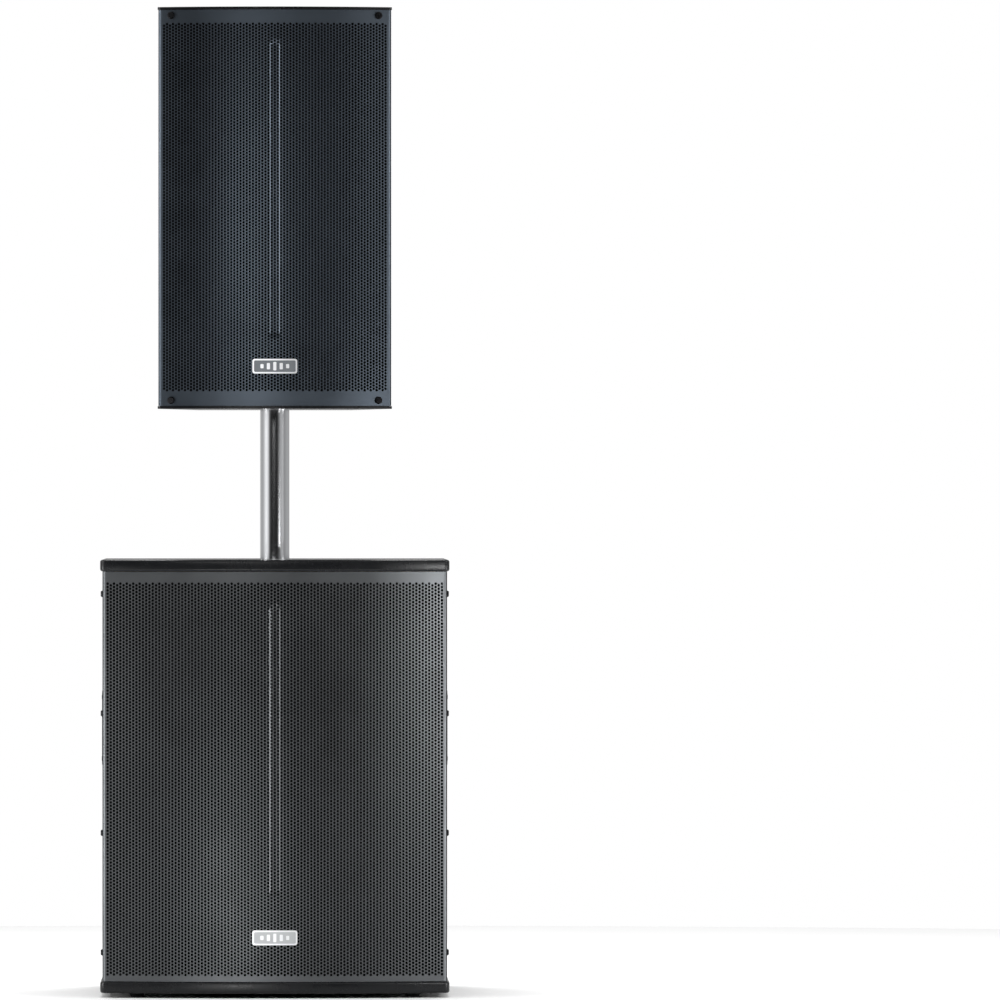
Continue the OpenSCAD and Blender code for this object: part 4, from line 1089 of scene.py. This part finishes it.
class Solid:
    """Corners and faces of a piece under construction, in an upright frame that faces the back.

    In that frame x runs to the viewer's right as seen from behind, y runs up and z runs towards the viewer,
    all in millimetres.
    """

    def __init__(self, board: float, middle: float) -> None:
        """Starts an empty piece.

        Args:
            board: Depth coordinate of the frame's origin, in metres.
            middle: Height of the frame's origin, in metres.
        """
        self.board = board
        self.middle = middle
        self.verts: list[Point3] = []
        self.faces: list[tuple[int, ...]] = []

    def ring(self, outline: Sequence[Point2], z: float) -> list[int]:
        """Adds a loop of corners at one depth.

        Args:
            outline: Their places.
            z: Their depth.

        Returns:
            Their numbers.
        """
        start = len(self.verts)
        self.verts += [(-x * MM, self.board + z * MM, self.middle + y * MM) for x, y in outline]
        return list(range(start, len(self.verts)))

    def wall(self, low: Sequence[int], high: Sequence[int]) -> None:
        """Joins two loops of the same length with a band of faces."""
        n = len(low)
        self.faces += [(low[k], low[(k + 1) % n], high[(k + 1) % n], high[k]) for k in range(n)]

    def prism(self, outline: Sequence[Point2], low: float, high: float) -> None:
        """Adds an extruded outline.

        Args:
            outline: The outline, anticlockwise.
            low: Depth of its back.
            high: Depth of its face.
        """
        under, over = self.ring(outline, low), self.ring(outline, high)
        self.wall(under, over)
        self.faces += [tuple(reversed(under)), tuple(over)]

    def border(self, box: Box2, radius: float, width: float, low: float, high: float) -> None:
        """Adds a line of the given width round a box with rounded corners.

        Args:
            box: Left, bottom, right and top of the line's outer side.
            radius: Radius of its outer corners.
            width: Width of the line.
            low: Depth of its back.
            high: Depth of its face.
        """
        left, bottom, right, top = box
        loops = []
        for inset in (0.0, width):
            r = radius - inset
            corners = ((right - radius, top - radius, 0), (left + radius, top - radius, 90),
                       (left + radius, bottom + radius, 180), (right - radius, bottom + radius, 270))
            turns = [(x, y, math.radians(start + step)) for x, y, start in corners
                     for step in range(0, 91, 18)]
            loops.append([(x + r * math.cos(a), y + r * math.sin(a)) for x, y, a in turns])
        outer_low, inner_low = (self.ring(loop, low) for loop in loops)
        outer_high, inner_high = (self.ring(loop, high) for loop in loops)
        self.wall(outer_low, outer_high)
        self.wall(outer_high, inner_high)
        self.wall(inner_high, inner_low)
        self.wall(inner_low, outer_low)

    def turned(self, at: Point2, profile: Sequence[Point2], base: float, hexagon: float = 0.0,
               steps: int = 48, closed: bool = False) -> None:
        """Adds a profile turned about the z direction.

        Args:
            at: The axis's place.
            profile: Radius and height over the base of each ring, outer side first.
            base: Depth of the base.
            hexagon: Rings with a smaller radius than this are six-sided.
            steps: Corners on each ring.
            closed: True when the profile is a loop, false when it starts and ends on the axis.
        """
        rings = []
        for radius, z in profile:
            loop = []
            for k in range(steps):
                a = 2 * math.pi * k / steps
                flat = math.cos(math.pi / 6) / math.cos(a % (math.pi / 3) - math.pi / 6)
                reach = radius * flat if radius < hexagon else radius
                loop.append((at[0] + reach * math.cos(a), at[1] + reach * math.sin(a)))
            rings.append(self.ring(loop, base + z))
        for low, high in zip(rings, rings[1:]):
            self.wall(low, high)
        if closed:
            self.wall(rings[-1], rings[0])
        else:
            self.faces += [tuple(reversed(rings[0])), tuple(rings[-1])]

    def build(self, name: str, finish: Finishes, body: Body, slot: str) -> bpy.types.Object:
        """Returns the finished piece, riding on a body."""
        return piece(name, self.verts, self.faces, finish, body)


# Turned fittings: radius and height over the face that each stands on, in millimetres
PIN = ((1.26, -13.8), (1.26, -2.0), (0.9, -1.5), (0.3, -1.25))
BORE_RING = ((4.4, -1.5), (4.4, -1.0), (4.1, -0.8), (3.4, -1.0), (3.4, -1.5))
SCREW_HEAD = ((2.1, 0.0), (2.1, 0.5), (1.8, 0.95), (1.3, 1.2), (0.95, 1.2), (0.95, 0.4), (0.2, 0.3))
LAMP_BEZEL = ((3.4, 0.0), (3.4, 0.6), (3.0, 1.0), (2.3, 0.8), (2.3, 0.0))
KNOB_WASHER = ((6.2, 0.0), (6.2, 0.7), (5.8, 0.9), (3.4, 0.9), (3.4, 0.0))
COLLAR = ((12.2, 0.0), (12.2, 0.7), (11.9, 1.0), (10.8, 1.0), (10.55, 0.7), (10.55, 0.0))
LENS = ((2.25, 0.0), *((2.25 * math.cos(math.radians(a)), 0.3 + 1.5 * math.sin(math.radians(a)))
                       for a in (0, 18, 36, 54, 72, 84)))


@dataclass(frozen=True)
class RearPanel:
    """The print, lamps, contacts, screws and collars of one amplifier panel, in millimetres on the panel.

    Attributes:
        name: Start of the pieces' names.
        body: The body that the panel belongs to.
        board: Depth coordinate of the board behind the panel, in metres.
        middle: Height of the panel's middle, in metres.
        knobs: Places of the level knobs.
        jacks: Places of the inputs.
        links: Places of the outputs with pins.
        inlet: Place of the mains input.
        outlet: Place of the mains output.
        lamps: Places of the green and the red lamp.
        groups: Printed borders as left, bottom, right and top.
        thick: Thickness of the panel.
        flange: Thickness of a connector's flange.
        ink: Thickness of the print.
        scale: Radii at which a scale mark starts and ends, and at which every fifth one ends.
        arrow: Half width and half height of an arrow, and its height over its connector.
        screw: Place of a connector's upper right screw.
        pin: Distance of a pin from its connector's middle.
        pointer: Half width, start, end, depth and thickness of a knob's pointer.
    """

    name: str
    body: Body
    board: float
    middle: float
    knobs: dict[Body, Point2]
    jacks: tuple[Point2, ...]
    links: tuple[Point2, ...]
    inlet: Point2
    outlet: Point2
    lamps: tuple[Point2, Point2]
    groups: tuple[Box2, ...]
    thick: float = 3.0
    flange: float = 2.0
    ink: float = 0.12
    scale: Point3 = (10.4, 12.0, 13.0)
    arrow: Point3 = (1.8, 1.4, 18.6)
    screw: Point2 = (9.8, 12.2)
    pin: float = 5.2
    pointer: tuple[float, ...] = (0.55, 2.0, 6.9, 12.7, 0.25)

    @property
    def face(self) -> float:
        """Depth of the connectors' faces."""
        return self.thick + self.flange

    def build(self) -> list[bpy.types.Object]:
        """Builds every piece on the panel.

        Returns:
            The pieces.
        """
        made = [self._print(), self._pins(), self._screws(), self._bezels()]
        for at, finish, label in zip(self.lamps, (Finishes.GREEN_LENS, Finishes.RED_LENS), ("green", "red")):
            lens = self._solid()
            lens.turned(at, LENS, self.thick)
            made.append(lens.build(f"{self.name}_{label}_lens", finish, self.body, "button_plastic"))
        for at, finish, label in ((self.inlet, Finishes.BLUE_INLET, "inlet"),
                                  (self.outlet, Finishes.GREY_OUTLET, "outlet")):
            collar = self._solid()
            collar.turned(at, COLLAR, self.face, steps=72, closed=True)
            made.append(collar.build(f"{self.name}_{label}_collar", finish, self.body, "connector_plastic"))
        return made + [self._pointer(body, at) for body, at in self.knobs.items()]

    def _solid(self) -> Solid:
        """Returns an empty piece in the panel's frame."""
        return Solid(self.board, self.middle)

    def _print(self) -> bpy.types.Object:
        """Prints scales round the knobs, borders round the groups and arrows by the connectors.

        Returns:
            The print.
        """
        ink = self._solid()
        low, high = self.thick, self.thick + self.ink
        near, far, farther = self.scale
        for x, y in self.knobs.values():
            for k in range(11):
                a = math.radians(225 - 27 * k)
                way = np.array([math.cos(a), math.sin(a)])
                off = np.array([-math.sin(a), math.cos(a)]) * 0.25
                end = way * (farther if k % 5 == 0 else far)
                corners = (way * near - off, end - off, end + off, way * near + off)
                ink.prism([(x + c[0], y + c[1]) for c in corners], low, high)
        for box in self.groups:
            ink.border(box, 4.0, 0.5, low, high)
        half, tall, rise = self.arrow
        for places, tip in ((self.jacks, -1), (self.links, 1)):
            for x, y in places:
                foot, top = y + rise - tip * tall, y + rise + tip * tall
                ink.prism([(x - half, foot), (x + half, foot), (x, top)][::tip], low, high)
        return ink.build(f"{self.name}_panel_print", Finishes.MARKS, self.body, "panel_steel")

    def _pins(self) -> bpy.types.Object:
        """Plates the outputs' pins and puts a ring round each input's bore.

        Returns:
            The plating.
        """
        gold = self._solid()
        for x, y in self.links:
            for a in (math.radians(angle) for angle in (90, 210, 330)):
                at = (x + self.pin * math.cos(a), y + self.pin * math.sin(a))
                gold.turned(at, PIN, self.face, steps=20)
        for at in self.jacks:
            gold.turned(at, BORE_RING, self.face, closed=True)
        return gold.build(f"{self.name}_contacts", Finishes.GOLD_PIN, self.body, "connector_plastic")

    def _screws(self) -> bpy.types.Object:
        """Adds the two socket screws that hold each connector.

        Returns:
            The screws.
        """
        heads = self._solid()
        for x, y in (*self.jacks, *self.links, self.inlet, self.outlet):
            for side in (-1, 1):
                at = (x + side * self.screw[0], y + side * self.screw[1])
                heads.turned(at, SCREW_HEAD, self.face, hexagon=1.0, steps=24)
        return heads.build(f"{self.name}_connector_screws", Finishes.BRIGHT_SCREW, self.body, "screw_bright")

    def _bezels(self) -> bpy.types.Object:
        """Adds the lamps' bezels and the knobs' washers.

        Returns:
            The bezels and washers.
        """
        rings = self._solid()
        for places, profile in ((self.lamps, LAMP_BEZEL), (self.knobs.values(), KNOB_WASHER)):
            for at in places:
                rings.turned(at, profile, self.thick, closed=True)
        return rings.build(f"{self.name}_bezels", Finishes.BRIGHT_SCREW, self.body, "screw_bright")

    def _pointer(self, knob: Body, at: Point2) -> bpy.types.Object:
        """Adds the light pointer let into a knob.

        Args:
            knob: The knob's body.
            at: The knob's place.

        Returns:
            The pointer.
        """
        pointer = self._solid()
        half, near, far, depth, thick = self.pointer
        left, right, low, high = at[0] - half, at[0] + half, at[1] + near, at[1] + far
        base = self.thick + depth
        pointer.prism([(left, low), (right, low), (right, high), (left, high)], base, base + thick)
        return pointer.build(f"{knob.value}_pointer", Finishes.MARKS, knob, "knob_plastic")


@dataclass(frozen=True)
class BadgeEnamel:
    """The grey enamel in a badge's recess, bowed like the grille.

    Attributes:
        name: The piece's name.
        plan: The cabinet's outline.
        inset: Inset of the recess's floor from the outline.
        height: Height of the badge's middle.
        body: The body that it rides on.
        finish: The enamel's finish.
        size: Width and height.
        thick: Thickness of the enamel.
        round: Radius of its corners.
    """

    name: str
    plan: Plan
    inset: float
    height: float
    body: Body
    finish: Finishes
    size: tuple[float, float] = (53.8 * MM, 14.8 * MM)
    thick: float = 0.2 * MM
    round: float = 1.8 * MM

    def build(self) -> list[bpy.types.Object]:
        """Builds the enamel.

        Returns:
            The enamel alone.
        """
        half, tall = self.size[0] / 2, self.size[1] / 2
        bend = [self.round * (1 - math.cos(math.radians(a))) for a in (0, 20, 40, 60, 80, 90)]
        columns = [-half + d for d in bend]
        columns += [half * k / 10 for k in range(-9, 10)]
        columns += [half - d for d in reversed(bend)]
        verts: list[Point3] = []
        for x in columns:
            over = max(abs(x) - (half - self.round), 0.0)
            reach = tall - self.round + math.sqrt(max(self.round**2 - over**2, 0.0))
            for inset in (self.inset - self.thick, self.inset):
                y = self.plan.front_at(inset, x)
                verts += [(x, y, self.height - reach), (x, y, self.height + reach)]
        faces: list[tuple[int, ...]] = []
        for k in range(len(columns) - 1):
            a, b = 4 * k, 4 * k + 4
            faces += [(a, b, b + 1, a + 1), (a + 3, b + 3, b + 2, a + 2), (a + 1, b + 1, b + 3, a + 3),
                      (a + 2, b + 2, b, a)]
        end = len(verts) - 4
        faces += [(0, 1, 3, 2), (end, end + 2, end + 3, end + 1)]
        return [piece(self.name, verts, faces, self.finish, self.body)]


@dataclass(frozen=True)
class Softbox:
    """A soft rectangular lamp.

    Attributes:
        name: The lamp's name.
        bearing: Direction from the stack, in degrees to the right of straight ahead.
        reach: Distance from the stack's axis.
        height: Height of its middle.
        aim: Height on the stack's axis that it faces.
        size: Its width and height.
        power: Its power in watts.
    """

    name: str
    bearing: float
    reach: float
    height: float
    aim: float
    size: tuple[float, float]
    power: float

    def build(self) -> None:
        """Hangs the lamp."""
        data = bpy.data.lights.new(self.name, "AREA")
        data.shape = "RECTANGLE"
        data.size, data.size_y = self.size
        data.energy = self.power
        item = place(self.name, data)
        turn = math.radians(self.bearing)
        item.location = (self.reach * math.sin(turn), -self.reach * math.cos(turn), self.height)
        way = Vector((0.0, 0.0, self.aim)) - item.location
        item.rotation_euler = way.to_track_quat("-Z", "Y").to_euler()


@dataclass
class Studio:
    """The plain room that the stack stands in: floor, soft lights and camera.

    Attributes:
        distance: Distance from the camera to the front of the stack.
        eye: Camera height.
        lens: Focal length in millimetres.
        turn: How far the camera is turned to the right, in degrees.
        ceiling: Brightness of the ceiling.
        cornice: Rise of the view at which the walls start to turn into the ceiling, and at which they have.
        rings: Radii of the floor's rings.
        facets: Facets on each ring.
        walls: Bearing in degrees and brightness of the room's walls, as a mirror would show them.
        lamps: The softboxes.
    """

    distance: float = 19.0
    eye: float = 0.641
    lens: float = 532.0
    turn: float = 0.873
    ceiling: float = 0.72
    cornice: Point2 = (0.35, 0.80)
    rings: Point3 = (1.0, 2.0, 3.0)
    facets: int = 96
    walls: tuple[Point2, ...] = (
        (-180, 0.50), (-137, 0.50), (-120, 0.45), (-106, 0.47), (-94, 0.66), (-84, 0.86), (-70, 1.00),
        (-60, 0.95), (-54, 0.77), (-46, 0.34), (-39, 0.08), (-31, 0.03), (-20, 0.01), (15, 0.012),
        (23, 0.03), (31, 0.08), (39, 0.17), (47, 0.37), (56, 0.45), (64, 0.44), (74, 0.34), (84, 0.30),
        (94, 0.38), (106, 0.42), (120, 0.45), (137, 0.42), (180, 0.50),
    )
    lamps: tuple[Softbox, ...] = (
        Softbox("low_left", -9.0, 1.4, 0.08, 0.10, (0.26, 0.10), 1.35),
        Softbox("high_left", -8.5, 1.8, 0.98, 1.00, (0.66, 0.18), 3.1),
        Softbox("high_fill", 16.0, 1.8, 1.12, 1.10, (0.50, 0.30), 0.45),
        Softbox("side_left", -36.0, 1.6, 0.34, 0.34, (0.30, 0.20), 0.5),
        Softbox("right", 37.0, 1.7, 0.455, 0.56, (0.35, 0.08), 5.0),
        Softbox("high_right", 36.0, 1.9, 1.16, 1.16, (0.30, 0.30), 0.8),
        Softbox("edge_left", -76.0, 1.9, 1.12, 1.02, (0.26, 0.44), 11.0),
        Softbox("edge_left_low", -74.0, 1.9, 0.26, 0.28, (0.34, 0.34), 9.0),
        Softbox("edge_right", 68.0, 1.9, 1.12, 1.02, (0.40, 0.44), 6.0),
        Softbox("edge_right_low", 68.0, 1.9, 0.26, 0.28, (0.40, 0.34), 9.0),
        Softbox("overhead", 180.0, 1.5, 3.20, 0.30, (1.50, 1.20), 78.0),
    )

    def build(self) -> None:
        """Builds the room."""
        self._world()
        self._floor()
        for lamp in self.lamps:
            lamp.build()
        self._camera()
        bpy.context.scene.view_settings.view_transform = "Standard"

    def _world(self) -> None:
        """Sets the room's walls and ceiling as light, behind a plain white surround."""
        world = bpy.data.worlds.new("studio_air")
        world.use_nodes = True
        air = Nodes(world.node_tree)
        way = air.add("ShaderNodeSeparateXYZ")
        air.join(air.add("ShaderNodeTexCoord").outputs["Generated"], way, 0)
        ahead = air.add("ShaderNodeMath", operation="MULTIPLY")
        ahead.inputs[1].default_value = -1.0
        air.join(way.outputs["Y"], ahead, 0)
        bearing = air.add("ShaderNodeMath", operation="ARCTAN2")
        air.join(way.outputs["X"], bearing, 0)
        air.join(ahead.outputs[0], bearing, 1)
        share = air.remap(bearing.outputs[0], 0.0, 1.0, -math.pi, math.pi)
        walls = air.shades(share, [((angle + 180.0) / 360.0, (level,) * 3) for angle, level in self.walls])
        rise = air.remap(way.outputs["Z"], 0.0, 1.0, *self.cornice, "SMOOTHSTEP")
        room = air.mixed(rise, walls, (self.ceiling,) * 3)
        seen = air.mixed(air.add("ShaderNodeLightPath").outputs["Is Camera Ray"], room, (1.0, 1.0, 1.0))
        air.join(seen, world.node_tree.nodes["Background"], "Color")
        bpy.context.scene.world = world

    def _floor(self) -> None:
        """Lays a wide pale floor."""
        count = self.facets
        turns = [2 * math.pi * k / count for k in range(count)]
        verts = [(0.0, 0.0, 0.0)]
        verts += [(radius * math.cos(a), radius * math.sin(a), 0.0) for radius in self.rings for a in turns]
        faces: list[tuple[int, ...]] = [(0, 1 + k, 1 + (k + 1) % count) for k in range(count)]
        for low in range(1, 1 + count * (len(self.rings) - 1), count):
            faces += [(low + k, low + count + k, low + count + (k + 1) % count, low + (k + 1) % count)
                      for k in range(count)]
        mesh = bpy.data.meshes.new("studio_floor")
        mesh.from_pydata(verts, [], faces)
        item = place("studio_floor", mesh)
        graph = Graph("studio_paper", Roughness=0.9, Specular_IOR_Level=0.1)
        graph.colour(graph.shades(graph.noise(3.0), [(0.3, (0.94, 0.94, 0.94)), (0.7, (0.96, 0.96, 0.96))]))
        item.data.materials.append(graph.material)

    def _camera(self) -> None:
        """Sets up the camera."""
        data = bpy.data.cameras.new("camera")
        data.lens = self.lens
        data.sensor_width = 36.0
        data.clip_end = 90.0
        item = place("camera", data)
        item.location = (0.0, SUB_PLAN.front - self.distance, self.eye)
        item.rotation_euler = (math.radians(90.0), 0.0, math.radians(-self.turn))
        bpy.context.scene.camera = item


# Nodes that both cabinets have
SHARED_FINISHES: dict[str, Finishes] = {
    "baffle": Finishes.PLY,
    "handles": Finishes.MOULDED,
    "grille_foam": Finishes.FOAM,
    "badge": Finishes.BADGE,
    "woofer_basket": Finishes.CAST,
    "woofer_motor": Finishes.FERRITE,
    "woofer_cone": Finishes.PULP,
    "woofer_surround": Finishes.SURROUND,
    "woofer_spider": Finishes.SPIDER,
    "voice_coil": Finishes.COIL,
    "amp_panel": Finishes.PANEL,
    "heatsink": Finishes.SINK,
    "amp_circuit": Finishes.BOARD,
    "connectors": Finishes.CONTACTS,
    "power_rocker": Finishes.ROCKER,
    "grille_screws": Finishes.BLACK_SCREW,
    "panel_screws": Finishes.BLACK_SCREW,
}
OWN_FINISHES: dict[str, Finishes] = {
    "sub_side_boards": Finishes.SUB_PAINT,
    "sub_back_board": Finishes.SUB_PAINT,
    "sub_port_ducts": Finishes.PLY,
    "sub_feet": Finishes.RUBBER,
    "sub_level_knob": Finishes.KNOB,
    "sub_phase_button": Finishes.BUTTON,
    "sub_pole_cup": Finishes.CUP,
    "sub_woofer_bolts": Finishes.BLACK_SCREW,
    "pole_tube": Finishes.CHROME,
    "pole_foot_plug": Finishes.NYLON,
    "pole_top_plug": Finishes.NYLON,
    "top_lid_board": Finishes.TOP_PAINT,
    "top_bottom_board": Finishes.TOP_PAINT,
    "top_side_boards": Finishes.TOP_PAINT,
    "top_back_board": Finishes.TOP_PAINT,
    "top_horn": Finishes.HORN,
    "top_hf_driver": Finishes.FERRITE,
    "top_level_knob_a": Finishes.KNOB,
    "top_level_knob_b": Finishes.KNOB,
    "top_mode_button": Finishes.BUTTON,
    "top_pole_socket": Finishes.CUP,
    "top_driver_bolts": Finishes.BLACK_SCREW,
}


@dataclass
class Stack:
    """The whole stack: its plain nodes and every finer piece.

    Attributes:
        grilles: The perforated grilles.
        boards: The subwoofer's two visible boards.
        enamels: The enamel of the badges.
        panels: The amplifier panels.
    """

    grilles: tuple[PerforatedGrille, ...] = (
        PerforatedGrille("sub_mesh", "sub_grille", SUB_PLAN, 3 * MM, Body.SUB, Finishes.SUB_MESH,
                         "sub_grille_steel", (28.4 * MM, 535.0 * MM), 4.28 * MM, 4.30 * MM, 1.95 * MM,
                         (132 * MM, 506 * MM), 0.7 * MM),
        PerforatedGrille("top_mesh", "top_grille", TOP_PLAN, 1 * MM, Body.TOP, Finishes.TOP_MESH,
                         "top_grille_steel", (783 * MM, 1257 * MM), 4.06 * MM, 3.98 * MM, 1.86 * MM,
                         (851 * MM, 1236 * MM), 0.7 * MM),
    )
    boards: tuple[RoundedBoard, ...] = (
        RoundedBoard("sub_lid", "sub_top_board", SUB_PLAN, Body.SUB, Finishes.SUB_PAINT, "sub_paint",
                     0.549, 0.564, 3 * MM, 52.3 * MM),
        RoundedBoard("sub_base", "sub_bottom_board", SUB_PLAN, Body.SUB, Finishes.SUB_PAINT, "sub_paint",
                     0.006, 0.021, 3 * MM),
    )
    enamels: tuple[BadgeEnamel, ...] = (
        BadgeEnamel("sub_badge_enamel", SUB_PLAN, 1 * MM, 78 * MM, Body.SUB, Finishes.PALE_ENAMEL),
        BadgeEnamel("top_badge_enamel", TOP_PLAN, -1 * MM, 814 * MM, Body.TOP, Finishes.GREY_ENAMEL),
    )
    panels: tuple[RearPanel, ...] = (
        RearPanel("sub", Body.SUB, 232 * MM, 285 * MM, {Body.SUB_KNOB: (-69, -28)},
                  ((-69, -76), (-23, -76)), ((23, -76), (69, -76)), (-69, -134), (-23, -134),
                  ((20, -28), (36, -28)), ((-90, -46, 50, -10), (-90, -96, 90, -52), (-90, -154, 66, -114))),
        RearPanel("top", Body.TOP, 131 * MM, 1019 * MM,
                  {Body.TOP_KNOB_A: (-44, -22), Body.TOP_KNOB_B: (0, -22)},
                  ((-44, -68), (0, -68)), ((44, -68),), (-44, -124), (0, -124),
                  ((62, -15), (62, -29)), ((-64, -40, 70, -5), (-64, -88, 64, -44), (-64, -144, 64, -104))),
    )

    def build(self) -> None:
        """Dresses the plain nodes, builds every finer piece and reports it."""
        shared = {f"{cabinet}_{name}": finish for cabinet in ("sub", "top")
                  for name, finish in SHARED_FINISHES.items()}
        for name, finish in (shared | OWN_FINISHES).items():
            dress(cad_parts[name], finish)
        for part in (*self.grilles, *self.boards, *self.enamels, *self.panels):
            for item in part.build():
                LOG.info("%s: %d faces", item.name, len(item.data.polygons))


def main() -> None:
    """Builds the scene."""
    logging.basicConfig(level=logging.INFO, format="%(message)s")
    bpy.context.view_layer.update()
    Stack().build()
    Studio().build()


if __name__ == "__main__":
    main()
